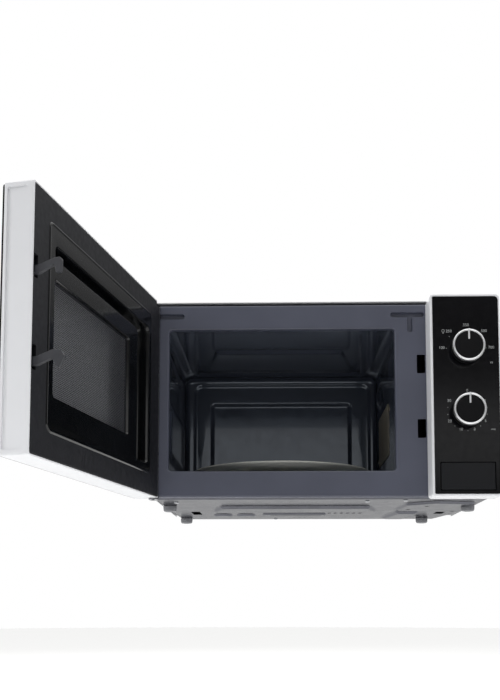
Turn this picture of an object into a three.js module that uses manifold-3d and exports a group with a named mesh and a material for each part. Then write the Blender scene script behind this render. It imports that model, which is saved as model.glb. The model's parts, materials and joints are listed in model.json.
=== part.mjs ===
// A compact countertop microwave oven with two knobs, its door standing open.
// Units are millimetres and +Z is up. Sizes are first written in the cabinet's own frame:
// x = 0 is the middle of the cabinet, y = 0 the front of its steel face, z = 0 the worktop,
// with +X to the right and +Y to the back. The door is drawn closed in that frame and then
// turned open about its hinge pins. Last, the whole group moves so that the origin lies
// under the middle of the oven's outline, on the worktop.

import * as THREE from "three";
import { mergeVertices } from "three/addons/utils/BufferGeometryUtils.js";
import Module from "manifold-3d";

const wasm = await Module();
wasm.setup();

// ---- Driving dimensions ----

const GAP = 0.3; // clearance between pieces that touch on the real oven
const SHEET = 1; // sheet metal thickness

const HALF_WIDTH = 220; // cabinet, middle to side
const CABINET_TOP = 262.5;
const CABINET_BACK = 307;
const COVER_FRONT = 1.6;
const COVER_BOTTOM = 14;
const FOOT_HEIGHT = 8;
const BASE_SHEET_Z = 16; // underside of the base plate around its pressed pan

const FACE = { left: -218.6, right: 218.6, bottom: 10, top: 259 };
const MOUTH = { left: -194.2, right: 93.7, bottom: 43.4, top: 226.1, radius: 4.5 };
const CAVITY = { left: -202, right: 99.5, bottom: 38, top: 232, front: 1.3, back: 282 };

const DOOR = { left: -218, right: 131.2, bottom: 8, top: 260, front: -33.5, back: -2 };
const DOOR_GLASS = 1.7; // thickness of the door's outer glass
const DOOR_WALL = 2.5;
const DOOR_OPEN = THREE.MathUtils.degToRad(101.2);
const HINGE = { x: -212, y: -7.5, pin: 2, hole: 2.4 };
const BEAD = { left: -182, right: 99.4, bottom: 34.6, top: 235.5 };

const LATCH = { left: 123, right: 127.3, barBack: -8, barFront: -12 };
const LATCH_SLOTS = [{ bottom: 84.8, top: 108.9 }, { bottom: 168, top: 192 }];
const LATCH_SLOT_X = [121.7, 132.2];

const PANEL = { left: 133.4, right: 220, bottom: 7, top: 259.5, front: -33, back: -0.4 };
const PANEL_FACE = { left: 136.8, right: 217.5, bottom: 9.7, top: 254.4 };
const BUTTON = { left: 144.4, right: 212, bottom: 14.8, top: 48.8, clearance: 0.5 };
const KNOB = { x: 177.7, radius: 19.5, ring: 19.8, face: 16, base: -33.8, front: -51.5 };
const KNOB_HEIGHTS = { timer: 111.3, power: 190.2 };

const TURNTABLE = { x: -50.5, y: 148, radius: 127.5, underside: 51.9, rim: 60 };
const ROLLER = { radius: 6.5, track: 96.5, width: 5, height: 45 };

const LEVER = { y: 9, z: 72 };
const FAN = { x: 160, z: 188, radius: 48 };
const WAVEGUIDE = { bottom: 80, top: 216, front: 119, back: 241, depth: 36 };
const ANTENNA = { y: 180, z: 188 };

// How far the group moves so that its outline is centred over the origin.
const CENTRING = { x: 42, y: 19 };

// ---- Solids and the joining of them ----

function toSolid(geometry) {
  geometry.deleteAttribute("normal");
  geometry.deleteAttribute("uv");
  const merged = mergeVertices(geometry, 1e-4);
  return new wasm.Manifold(new wasm.Mesh({
    numProp: 3,
    vertProperties: new Float32Array(merged.attributes.position.array),
    triVerts: new Uint32Array(merged.index.array),
  }));
}

function toGeometry(solid) {
  const mesh = solid.getMesh();
  const geometry = new THREE.BufferGeometry();
  geometry.setAttribute("position", new THREE.BufferAttribute(mesh.vertProperties, 3));
  geometry.setIndex(new THREE.BufferAttribute(mesh.triVerts, 1));
  geometry.computeVertexNormals();
  return geometry;
}

const join = (...solids) => solids.reduce((whole, next) => whole.add(next));
const cut = (whole, ...tools) => tools.reduce((rest, tool) => rest.subtract(tool), whole);

function block(x, y, z) {
  const geometry = new THREE.BoxGeometry(x[1] - x[0], y[1] - y[0], z[1] - z[0]);
  geometry.translate((x[0] + x[1]) / 2, (y[0] + y[1]) / 2, (z[0] + z[1]) / 2);
  return toSolid(geometry);
}

const AXIS_MATRICES = {
  x: new THREE.Matrix4().makeBasis(
    new THREE.Vector3(0, 1, 0), new THREE.Vector3(0, 0, 1), new THREE.Vector3(1, 0, 0)),
  y: new THREE.Matrix4().makeBasis(
    new THREE.Vector3(0, 0, 1), new THREE.Vector3(1, 0, 0), new THREE.Vector3(0, 1, 0)),
  z: new THREE.Matrix4(),
};

// A cylinder or cone about an axis, from one place along it to another.
function rod(axis, from, to, centre, radius, endRadius = radius, sides = 24) {
  const geometry = new THREE.CylinderGeometry(endRadius, radius, to - from, sides);
  geometry.rotateX(Math.PI / 2);
  geometry.translate(0, 0, (from + to) / 2);
  geometry.applyMatrix4(AXIS_MATRICES[axis]);
  geometry.translate(...centre);
  return toSolid(geometry);
}

// A turned solid about an axis through centre; the profile lists [radius, place along it].
function turned(axis, profile, centre, sides) {
  const points = profile.map(([radius, along]) => new THREE.Vector2(radius, along));
  const geometry = new THREE.LatheGeometry(points, sides);
  geometry.rotateX(Math.PI / 2);
  geometry.applyMatrix4(AXIS_MATRICES[axis]);
  geometry.translate(...centre);
  return toSolid(geometry);
}

// A closed outline through corners, each one rounded by the same radius.
function roundedOutline(corners, radius) {
  const shape = new THREE.Shape();
  corners.forEach((corner, i) => {
    const here = new THREE.Vector2(...corner);
    const before = new THREE.Vector2(...corners.at(i - 1));
    const after = new THREE.Vector2(...corners[(i + 1) % corners.length]);
    const start = here.clone().add(before.sub(here).setLength(radius));
    const end = here.clone().add(after.sub(here).setLength(radius));
    if (i === 0) shape.moveTo(start.x, start.y);
    else shape.lineTo(start.x, start.y);
    shape.quadraticCurveTo(here.x, here.y, end.x, end.y);
  });
  shape.closePath();
  return shape;
}

function rectangle(left, right, bottom, top, radius) {
  const corners = [[left, bottom], [right, bottom], [right, top], [left, top]];
  return roundedOutline(corners, radius);
}

function extruded(shape, depth, curveSegments = 4) {
  const options = { depth, curveSegments, bevelEnabled: false };
  return new THREE.ExtrudeGeometry(shape, options);
}

// Plates: the outline lies in the plane of the name and the plate spans the third axis.
function plateXZ(shape, front, back, curveSegments) {
  const geometry = extruded(shape, back - front, curveSegments);
  geometry.rotateX(Math.PI / 2);
  geometry.translate(0, back, 0);
  return toSolid(geometry);
}

function plateXY(shape, bottom, top, curveSegments) {
  const geometry = extruded(shape, top - bottom, curveSegments);
  geometry.translate(0, 0, bottom);
  return toSolid(geometry);
}

function plateYZ(shape, left, right, curveSegments) {
  const geometry = extruded(shape, right - left, curveSegments);
  geometry.applyMatrix4(AXIS_MATRICES.x);
  geometry.translate(left, 0, 0);
  return toSolid(geometry);
}

function polygon(points) {
  return new THREE.Shape(points.map((point) => new THREE.Vector2(...point)));
}

// A wire bent along a coil about the Z axis, with its ends on the coil itself.
class CoilCurve extends THREE.Curve {
  constructor(radius, height, turns) {
    super();
    Object.assign(this, { radius, height, turns });
  }

  getPoint(t, target = new THREE.Vector3()) {
    const angle = 2 * Math.PI * this.turns * t;
    const x = this.radius * Math.cos(angle);
    const y = this.radius * Math.sin(angle);
    return target.set(x, y, this.height * t);
  }
}

function coil(axis, centre, radius, height, turns, wire) {
  const section = new THREE.Shape();
  section.absarc(0, 0, wire / 2, 0, 2 * Math.PI);
  const geometry = new THREE.ExtrudeGeometry(section, {
    steps: turns * 8,
    curveSegments: 2,
    extrudePath: new CoilCurve(radius, height, turns),
  });
  geometry.applyMatrix4(AXIS_MATRICES[axis]);
  geometry.translate(...centre);
  return toSolid(geometry);
}

// A row or grid of copies of one cutting tool.
function grid(tool, counts, pitch) {
  const copies = [];
  for (let i = 0; i < counts[0]; i += 1) {
    for (let j = 0; j < counts[1]; j += 1) {
      for (let k = 0; k < counts[2]; k += 1) {
        copies.push(tool.translate([i * pitch[0], j * pitch[1], k * pitch[2]]));
      }
    }
  }
  return copies;
}

// ---- Materials ----

function finish(color, roughness, metalness, extra = {}) {
  return new THREE.MeshStandardMaterial({ color, roughness, metalness, ...extra });
}

const MATERIALS = {
  whitePaint: finish(0xf2f2f0, 0.45, 0),
  whitePlastic: finish(0xf4f4f3, 0.4, 0),
  enamel: finish(0x3f444c, 0.25, 0.1),
  faceEnamel: finish(0x4b4f58, 0.4, 0.1),
  charcoalPlastic: finish(0x2b2c2b, 0.6, 0),
  hookPlastic: finish(0x55565a, 0.55, 0),
  blackGloss: finish(0x050506, 0.08, 0),
  buttonPlastic: finish(0x1a1b1e, 0.3, 0),
  knobPlastic: finish(0x0c0c0e, 0.35, 0),
  satinSilver: finish(0xc9cbce, 0.3, 0.9),
  galvanised: finish(0x9fa1a3, 0.45, 0.8),
  steel: finish(0xb0b2b5, 0.35, 0.9),
  darkSteel: finish(0x3a3b3d, 0.5, 0.7),
  copper: finish(0xb5672f, 0.4, 0.8),
  aluminium: finish(0xc4c6c8, 0.35, 0.9),
  clearGlass: finish(0xcfe0d6, 0.05, 0, { transparent: true, opacity: 0.45 }),
  mica: finish(0xa79f8c, 0.6, 0),
  naturalPlastic: finish(0xe4e0d4, 0.5, 0),
  blackRubber: finish(0x161617, 0.8, 0),
  blackPlastic: finish(0x0c0c0e, 0.5, 0),
  greyPlastic: finish(0x8f9094, 0.45, 0),
  board: finish(0x3d6b3a, 0.5, 0),
};

function part(parent, name, material, solid) {
  const mesh = new THREE.Mesh(toGeometry(solid), MATERIALS[material]);
  mesh.name = name;
  parent.add(mesh);
  return mesh;
}

// ---- Cabinet shell ----

function cabinetCover() {
  const inner = HALF_WIDTH - SHEET;
  const topInner = CABINET_TOP - SHEET;
  const radius = 7;
  const outline = new THREE.Shape();
  outline.moveTo(-HALF_WIDTH, COVER_BOTTOM);
  outline.lineTo(-inner, COVER_BOTTOM);
  outline.lineTo(-inner, topInner - radius);
  outline.quadraticCurveTo(-inner, topInner, -inner + radius, topInner);
  outline.lineTo(inner - radius, topInner);
  outline.quadraticCurveTo(inner, topInner, inner, topInner - radius);
  outline.lineTo(inner, COVER_BOTTOM);
  outline.lineTo(HALF_WIDTH, COVER_BOTTOM);
  outline.lineTo(HALF_WIDTH, CABINET_TOP - radius);
  outline.quadraticCurveTo(HALF_WIDTH, CABINET_TOP, HALF_WIDTH - radius, CABINET_TOP);
  outline.lineTo(-HALF_WIDTH + radius, CABINET_TOP);
  outline.quadraticCurveTo(-HALF_WIDTH, CABINET_TOP, -HALF_WIDTH, CABINET_TOP - radius);
  outline.closePath();
  const slot = block([HALF_WIDTH - 2, HALF_WIDTH + 1], [180, 183], [50, 80]);
  const shell = plateXZ(outline, COVER_FRONT, CABINET_BACK);
  return cut(shell, ...grid(slot, [1, 10, 1], [0, 9, 0]));
}

// The pan pressed down from the base plate narrows to the back on its right side.
function panOutline(inset) {
  const corners = [
    [-217 + inset, 4 + inset], [216 - inset, 4 + inset], [216 - inset, 100],
    [208 - inset, 200], [191 - inset, 291 - inset], [-213 + inset, 291 - inset],
  ];
  return roundedOutline(corners, 8);
}

const FEET = {
  foot_front_left: [-202, 85],
  foot_front_right: [200, 85],
  foot_rear_left: [-199, 268],
  foot_rear_right: [166.5, 268],
};

function basePlate() {
  const sheetOutline = rectangle(-218.2, 218.2, 4, 305.4, 2);
  const sheet = plateXY(sheetOutline, BASE_SHEET_Z, BASE_SHEET_Z + SHEET, 1);
  const panTop = BASE_SHEET_Z + SHEET / 2;
  const pan = plateXY(panOutline(0), FOOT_HEIGHT, panTop, 2);
  const hollow = plateXY(panOutline(SHEET), FOOT_HEIGHT + SHEET, BASE_SHEET_Z + 2, 2);
  const through = [FOOT_HEIGHT - 1, FOOT_HEIGHT + SHEET + 1];
  const holes = Object.values(FEET).map(([x, y]) => rod("z", ...through, [x, y, 0], 3.4, 3.4, 12));
  holes.push(block([-68, 15], [196, 200], through));
  holes.push(block([-180, -168], [163, 209], through));
  const vent = rod("z", ...through, [19, 183, 0], 3, 3, 10);
  holes.push(...grid(vent, [5, 2, 1], [11, 12, 0]));
  return cut(join(sheet, pan), hollow, ...holes);
}

function foot(x, y) {
  const neckTop = FOOT_HEIGHT + SHEET + GAP;
  const profile = [
    [0, 0], [7.6, 0], [8.6, 1.5], [9.2, FOOT_HEIGHT - GAP], [3, FOOT_HEIGHT - GAP],
    [3, neckTop], [4.5, neckTop], [4.5, neckTop + 1.5], [0, neckTop + 1.5],
  ];
  return turned("z", profile, [x, y, 0], 20);
}

const GLAND = { x: 200, z: 40, hole: 6.5 };

function rearPanel() {
  const outline = rectangle(-218.4, 218.4, BASE_SHEET_Z + SHEET + GAP, 260.8, 9);
  const plate = plateXZ(outline, 305.8, 306.8, 2);
  const inletSlot = block([132, 194], [305, 308], [160, 163]);
  const outletSlot = block([-190, -150], [305, 308], [205, 208]);
  const cordHole = rod("y", 305, 308, [GLAND.x, 0, GLAND.z], GLAND.hole, GLAND.hole, 16);
  const slots = [
    ...grid(inletSlot, [1, 1, 9], [0, 0, 7]),
    ...grid(outletSlot, [1, 1, 5], [0, 0, 7]),
  ];
  return cut(plate, cordHole, ...slots);
}

function cordInletGrommet() {
  const neck = GLAND.hole - GAP;
  const profile = [
    [3.5, 303.5], [9, 303.5], [9, 305.5], [neck, 305.5], [neck, 307.1],
    [9, 307.1], [8, 310], [3.5, 310], [3.5, 303.5],
  ];
  return turned("y", profile, [GLAND.x, 0, GLAND.z], 16);
}

function frontFrame() {
  const plate = plateXZ(rectangle(FACE.left, FACE.right, FACE.bottom, FACE.top, 4), 0, SHEET, 3);
  const mouthOutline = rectangle(
    MOUTH.left, MOUTH.right, MOUTH.bottom, MOUTH.top, MOUTH.radius);
  const mouth = plateXZ(mouthOutline, -1, SHEET + 1, 3);
  const flangeBottom = BASE_SHEET_Z + SHEET + 0.5;
  const flangeOuter = block([FACE.left, FACE.right], [0.5, 12], [flangeBottom, FACE.top - 4]);
  const flangeInner = block(
    [FACE.left + SHEET, FACE.right - SHEET], [SHEET, 13], [0, FACE.top + 1]);
  const flange = cut(flangeOuter, flangeInner);
  const slots = LATCH_SLOTS.map(({ bottom, top }) => block(LATCH_SLOT_X, [-1, 2], [bottom, top]));
  const shafts = Object.values(KNOB_HEIGHTS).map(
    (z) => rod("y", -1, 2, [KNOB.x, 0, z], 9, 9, 16));
  const buttonHole = block([150, 160], [-1, 2], [33, 47]);
  const hingeNotch = block([FACE.left - 1, -205.4], [-1, 4], [254.2, FACE.top + 1]);
  return cut(join(plate, flange), mouth, ...slots, ...shafts, buttonHole, hingeNotch);
}

// ---- Cooking space ----

function cavityLiner() {
  const { left, right, bottom, top, front, back } = CAVITY;
  const outerOutline = rectangle(left - SHEET, right + SHEET, bottom - SHEET, top + SHEET, 7);
  const outer = plateXZ(outerOutline, front, back + SHEET, 3);
  const inner = plateXZ(rectangle(left, right, bottom, top, 6), front - 1, back, 3);
  const wall = [right - 2, right + 2];
  const feedHole = block(wall, [125, 235], [86, 152]);
  const lampSlot = block(wall, [66, 70], [172, 220]);
  const shaftHole = rod(
    "z", bottom - 2, bottom + 1, [TURNTABLE.x, TURNTABLE.y, 0], 6, 6, 16);
  const outlet = block([left - 2, left + 2], [200, 204], [185, 215]);
  const lampSlots = grid(lampSlot, [1, 7, 1], [0, 8, 0]);
  const outlets = grid(outlet, [1, 6, 1], [0, 9, 0]);
  return cut(outer, inner, feedHole, shaftHole, ...lampSlots, ...outlets);
}

function waveguideCover() {
  const outline = rectangle(118, 242, 82, 156, 6);
  return plateYZ(outline, CAVITY.right - 0.8, CAVITY.right - GAP, 3);
}

function waveguide() {
  const { bottom, top, front, back, depth } = WAVEGUIDE;
  const left = CAVITY.right + SHEET + 0.5;
  const outer = block([left, left + depth], [front, back], [bottom, top]);
  const inner = block(
    [left - 1, left + depth - SHEET],
    [front + SHEET, back - SHEET],
    [bottom + SHEET, top - SHEET]);
  const antennaHole = rod(
    "x", left + depth - 3, left + depth + 2, [0, ANTENNA.y, ANTENNA.z], 17, 17, 20);
  return cut(outer, inner, antennaHole);
}

function turntableGlass() {
  const { x, y, radius, underside, rim } = TURNTABLE;
  const thickness = 4;
  const profile = [
    [0, underside], [radius - 9, underside], [radius, rim - 3], [radius, rim],
    [radius - 3, rim], [radius - 11, underside + thickness], [0, underside + thickness],
  ];
  const plate = turned("z", profile, [x, y, 0], 56);
  const lugs = [0, 1, 2].map((i) => {
    const angle = ((2 * i + 1) * Math.PI) / 3;
    const centre = [x + 20 * Math.cos(angle), y + 20 * Math.sin(angle), 0];
    return rod("z", underside - 3, underside + 1, centre, 4, 4, 12);
  });
  return join(plate, ...lugs);
}

function turntableCoupler() {
  const { x, y, underside } = TURNTABLE;
  const top = underside - GAP;
  const hub = rod("z", top - 4, top, [x, y, 0], 11, 11, 18);
  const stem = rod("z", 33.3, top - 3, [x, y, 0], 4, 4, 12);
  const lobes = [0, 1, 2].map((i) => {
    const angle = (2 * i * Math.PI) / 3;
    const centre = [x + 17 * Math.cos(angle), y + 17 * Math.sin(angle), 0];
    return rod("z", top - 4, top, centre, 9, 9, 14);
  });
  return join(hub, stem, ...lobes);
}

function turntableMotor() {
  const { x, y } = TURNTABLE;
  const can = rod("z", 15, 30, [x, y, 0], 25, 25, 28);
  const boss = rod("z", 29, 33, [x, y, 0], 7, 7, 16);
  const ears = block([x - 34, x + 34], [y - 6, y + 6], [28.5, 30]);
  return join(can, boss, ears);
}

// The roller ring carries three wheels on stub axles that point outwards.
function rollerRing() {
  const { x, y } = TURNTABLE;
  const { track, width, height } = ROLLER;
  const band = [[84, height - 2], [90, height - 2], [90, height + 2], [84, height + 2]];
  const ring = turned("z", [...band, band[0]], [x, y, 0], 48);
  const axles = [0, 1, 2].map((i) => {
    const outerEnd = track + width / 2 + GAP;
    const axle = rod("x", 87, outerEnd + 1, [0, 0, height], 1.5, 1.5, 10);
    const cap = rod("x", outerEnd, outerEnd + 1.6, [0, 0, height], 2.6, 2.6, 12);
    return join(axle, cap).rotate([0, 0, 120 * i]).translate([x, y, 0]);
  });
  return join(ring, ...axles);
}

function rollerWheel(index) {
  const { x, y } = TURNTABLE;
  const { radius, track, width, height } = ROLLER;
  const ends = [track - width / 2, track + width / 2];
  const wheel = rod("x", ...ends, [0, 0, height], radius, radius, 20);
  const bore = rod("x", ends[0] - 1, ends[1] + 1, [0, 0, height], 1.8, 1.8, 10);
  return cut(wheel, bore).rotate([0, 0, 120 * index]).translate([x, y, 0]);
}

const LAMP = { y: 93, z: 198, radius: 9, halfSocket: 10 };

function cavityLamp() {
  const { y, z, radius, halfSocket } = LAMP;
  const left = CAVITY.right + SHEET + GAP;
  const bulb = new THREE.SphereGeometry(radius, 16, 10);
  bulb.translate(left + radius + 2, y, z);
  const neck = rod("x", left + 15, left + 24, [0, y, z], 6, 6, 14);
  const socket = block(
    [left + 22, left + 33],
    [y - halfSocket, y + halfSocket],
    [z - halfSocket, z + halfSocket]);
  return join(toSolid(bulb), neck, socket);
}

function thermalCutout() {
  const left = CAVITY.right + SHEET + GAP;
  const can = rod("x", left, left + 7, [0, 60, 140], 8, 8, 18);
  const terminals = block([left + 6, left + 14], [57, 63], [136, 144]);
  return join(can, terminals);
}

// ---- High-voltage parts and cooling ----

function magnetron() {
  const left = CAVITY.right + SHEET + 0.5 + WAVEGUIDE.depth + GAP;
  const { y, z } = ANTENNA;
  const plateSpan = [[y - 42, y + 42], [z - 40, z + 40]];
  const yoke = cut(
    block([left, left + 54], ...plateSpan),
    block([left + 2, left + 52], [y - 50, y + 50], [z - 38, z + 38]));
  const anode = rod("x", left + 1, left + 53, [0, y, z], 20, 20, 20);
  const fin = block([left + 10, left + 11], [y - 34, y + 34], [z - 39, z + 39]);
  const fins = grid(fin, [5, 1, 1], [8, 0, 0]);
  const antenna = rod("x", left - 14, left + 1, [0, y, z], 12, 12, 16);
  const filterBox = block([left + 53, left + 68], [y - 26, y + 26], [z - 22, z + 22]);
  return join(yoke, anode, antenna, filterBox, ...fins);
}

const TRANSFORMER = { x: 152, y: 88, z: 44.8 };

function transformerCore() {
  const { x, y, z } = TRANSFORMER;
  const stack = block([x - 42, x + 42], [y - 25, y + 25], [z - 35, z + 35]);
  const openings = [-1, 1].map((side) => {
    const across = [x + side * 21 - 7, x + side * 21 + 7];
    return block(across, [y - 30, y + 30], [z - 22, z + 22]);
  });
  return cut(stack, ...openings);
}

function transformerCoil(bottom, top) {
  const { x, y, z } = TRANSFORMER;
  const span = [z + bottom, z + top];
  const winding = block([x - 27.5, x + 27.5], [y - 38, y + 38], span);
  const limb = block([x - 14.4, x + 14.4], [y - 25.4, y + 25.4], [z - 40, z + 40]);
  return cut(winding, limb);
}

const CAPACITOR = { left: 116, right: 166, bottom: 9.6, top: 44.6, front: 190, back: 285 };

function capacitor() {
  const { left, right, bottom, top, front, back } = CAPACITOR;
  const can = plateXZ(rectangle(left, right, bottom, top, 17), front, back, 4);
  const middle = (left + right) / 2;
  const tabs = [-10, 10].map(
    (offset) => block([middle + offset - 3, middle + offset + 3], [front - 10, front + 1], [26, 27]));
  return join(can, ...tabs);
}

// The clamp arches over the can and stands on two feet.
function capacitorClamp() {
  const { left, right, bottom, top } = CAPACITOR;
  const middle = (bottom + top) / 2;
  const footBottom = FOOT_HEIGHT + SHEET + 0.4;
  const arch = (margin, front, back, below) => join(
    plateXZ(rectangle(left - margin, right + margin, bottom, top + margin, 17), front, back, 4),
    block([left - margin, right + margin], [front, back], [below, middle]));
  const band = cut(arch(SHEET + GAP, 232, 246, footBottom), arch(GAP, 231, 247, 0));
  const feet = [[left - 12, left - 0.8], [right + 0.8, right + 12]].map(
    (across) => block(across, [232, 246], [footBottom, footBottom + SHEET]));
  return join(band, ...feet);
}

const DIODE = { x: 200, z: 28 };

function diode() {
  const { x, z } = DIODE;
  const body = rod("y", 130, 152, [x, 0, z], 4, 4, 14);
  const frontLead = rod("y", 118, 131, [x, 0, z], 0.8, 0.8, 8);
  const rearLead = rod("y", 151, 160, [x, 0, z], 0.8, 0.8, 8);
  const eyelet = rod("z", z - 0.6, z + 0.6, [x, 163, 0], 4.5, 4.5, 14);
  const screwHole = rod("z", z - 2, z + 2, [x, 163.6, 0], 2.2, 2.2, 10);
  return cut(join(body, frontLead, rearLead, eyelet), screwHole);
}

function fanShroud() {
  const { x, z, radius } = FAN;
  const plate = plateXZ(rectangle(106, 216, 132, 246, 4), 292, 294, 2);
  const collar = rod("y", 277, 293, [x, 0, z], radius + 4, radius + 4, 36);
  const bore = rod("y", 270, 300, [x, 0, z], radius + 2, radius + 2, 36);
  const arms = [-1, 1].map((side) => {
    const inner = x + side * 30;
    const outer = x + side * (radius + 4);
    const across = [Math.min(inner, outer) - 2, Math.max(inner, outer) + 2];
    return join(
      block([inner - 2, inner + 2], [249, 274], [z - 3, z + 3]),
      block(across, [272, 276], [z - 3, z + 3]),
      block([outer - 2, outer + 2], [272, 293], [z - 3, z + 3]));
  });
  return join(cut(join(plate, collar), bore), ...arms);
}

function fanMotor() {
  const { x, z } = FAN;
  const laminations = block([x - 27, x + 27], [250, 266], [z - 22, z + 38]);
  const coilBlock = block([x - 14, x + 14], [247, 269], [z + 14, z + 34]);
  const bearing = rod("y", 246, 276.6, [x, 0, z], 9, 9, 16);
  return join(laminations, coilBlock, bearing);
}

function fanBlade() {
  const { x, z, radius } = FAN;
  const hub = rod("y", 277, 291, [0, 0, 0], 12, 12, 20);
  const blades = [0, 1, 2, 3, 4].map((i) => {
    const vane = new THREE.BoxGeometry(radius - 9, 1.6, 16);
    vane.translate((radius + 9) / 2, 0, 0);
    vane.rotateX(THREE.MathUtils.degToRad(52));
    vane.translate(0, 284, 0);
    return toSolid(vane).rotate([0, 72 * i, 0]);
  });
  return join(hub, ...blades).translate([x, 0, z]);
}

function lineFilterBoard() {
  const board = block([108, 180], [246, 300], [100, 101.6]);
  const inductor = rod("z", 101, 119, [128, 272, 0], 12, 12, 18);
  const filterCapacitor = block([148, 166], [262, 288], [101, 117]);
  const fuse = block([112, 136], [250, 256], [101, 108]);
  const relay = block([148, 168], [249, 259], [101, 115]);
  return join(board, inductor, filterCapacitor, fuse, relay);
}

// ---- Latch bracket, switches and door release ----

function latchBracket() {
  const body = block([117.5, 136.5], [1.4, 46], [66, 204]);
  const upperChannel = block([120, 134.5], [0, 42], [160, 200]);
  const lowerChannel = block([120, 134.5], [0, 44], [64, 118]);
  const sideWindow = block([121.5, 138], [6, 42], [122, 156]);
  const shaftHole = rod("x", 116, 138, [0, LEVER.y, LEVER.z], 2.9, 2.9, 14);
  const armSlot = block([130, 138], [14, 50], [60, 90]);
  return cut(body, upperChannel, lowerChannel, sideWindow, shaftHole, armSlot);
}

function microswitch(bottom) {
  const left = 136.8;
  const body = block([left, left + 10], [10, 38], [bottom, bottom + 16]);
  const terminals = grid(
    block([left + 3, left + 7], [37, 45], [bottom + 2, bottom + 3]), [1, 1, 3], [0, 0, 5]);
  const plunger = block([left + 4, left + 6], [8.5, 11], [bottom + 10, bottom + 13]);
  return join(body, plunger, ...terminals);
}

// The bell crank between the button's stem and the lower hook.
function releaseLever() {
  const { y, z } = LEVER;
  const shaft = rod("x", 117.8, 158, [0, y, z], 2.5, 2.5, 14);
  const lift = block([122.5, 127.5], [y, 34], [z - 2.5, z + 2.5]);
  const finger = block([122.5, 127.5], [29, 34], [z, 79.5]);
  const pushArm = block([152.5, 157.5], [4, y + 2], [36, z + 2.5]);
  return join(shaft, lift, finger, pushArm);
}

function leverSpring() {
  return coil("x", [138, LEVER.y, LEVER.z], 4.2, 11, 5, 1);
}

function releaseButton() {
  const { left, right, bottom, top } = BUTTON;
  const outline = rectangle(left, right, bottom, top, 1.5);
  const inside = rectangle(left + 2, right - 2, bottom + 2, top - 2, 1);
  const cap = cut(plateXZ(outline, -33.2, -22, 2), plateXZ(inside, -30.8, -21, 2));
  const stem = block([153, 157], [-32, 3.3], [38, 42]);
  return join(cap, stem);
}

// ---- Control panel ----

function panelHousing() {
  const { left, right, bottom, top, front, back } = PANEL;
  const outer = plateXZ(rectangle(left, right, bottom, top, 4), front, back, 3);
  const inner = block([left + 2, right - 2], [front + 4, back + 1], [bottom + 2, top - 2]);
  const recessOutline = rectangle(
    PANEL_FACE.left - GAP, PANEL_FACE.right + GAP,
    PANEL_FACE.bottom - GAP, PANEL_FACE.top + GAP, 3);
  const recess = plateXZ(recessOutline, front - 1, front + 2, 3);
  return cut(outer, inner, recess, ...panelOpenings());
}

// The holes both knob shafts and the door button pass through.
function panelOpenings() {
  const through = [PANEL.front - 2, PANEL.front + 6];
  const shafts = Object.values(KNOB_HEIGHTS).map(
    (z) => rod("y", ...through, [KNOB.x, 0, z], 5, 5, 16));
  const { left, right, bottom, top, clearance } = BUTTON;
  const opening = rectangle(
    left - clearance, right + clearance, bottom - clearance, top + clearance, 1.6);
  return [...shafts, plateXZ(opening, ...through, 2)];
}

function panelFace() {
  const { left, right, bottom, top } = PANEL_FACE;
  const outline = rectangle(left, right, bottom, top, 3);
  const plate = plateXZ(outline, PANEL.front - 0.2, PANEL.front + 1.7, 3);
  return cut(plate, ...panelOpenings());
}

function controlShaft(z) {
  return rod("y", -45.5, 11.5, [KNOB.x, 0, z], 3, 3, 14);
}

function controlUnit(z, halfWidth, halfHeight, depth) {
  const across = [KNOB.x - halfWidth, KNOB.x + halfWidth];
  const body = block(across, [1.5, depth], [z - halfHeight, z + halfHeight]);
  const bore = rod("y", 0, 12, [KNOB.x, 0, z], 3.4, 3.4, 14);
  const tab = block([KNOB.x - 12, KNOB.x - 6], [depth - 1, depth + 9], [z - 1, z + 1]);
  return join(cut(body, bore), tab, tab.translate([16, 0, 0]));
}

function knob(z) {
  const { radius, face, base, front } = KNOB;
  const step = front + 6;
  const profile = [
    [3.4, base], [3.4, -46], [0, -46], [0, front + 1], [face - GAP, front + 1],
    [face - GAP, step + GAP], [radius - 0.3, step + GAP], [radius, base], [3.4, base],
  ];
  return turned("y", profile, [KNOB.x, 0, z], 32);
}

function knobRing(z) {
  const { ring, face, front } = KNOB;
  const step = front + 6;
  const profile = [
    [face, step], [face, front + 0.4], [face + 0.6, front], [ring - 1, front],
    [ring, front + 1], [ring, step], [face, step],
  ];
  return turned("y", profile, [KNOB.x, 0, z], 32);
}

// ---- Hinges ----

function hingeBracket(armBottom, tab, pin) {
  const across = [-217.2, -206];
  const arm = block(across, [-12.5, 3.4], [armBottom, armBottom + 1.6]);
  const tabPlate = block(across, [1.4, 3.4], tab);
  const pinRod = rod("z", ...pin, [HINGE.x, HINGE.y, 0], HINGE.pin, HINGE.pin, 14);
  return join(arm, tabPlate, pinRod);
}

// ---- Door, drawn closed ----

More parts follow.
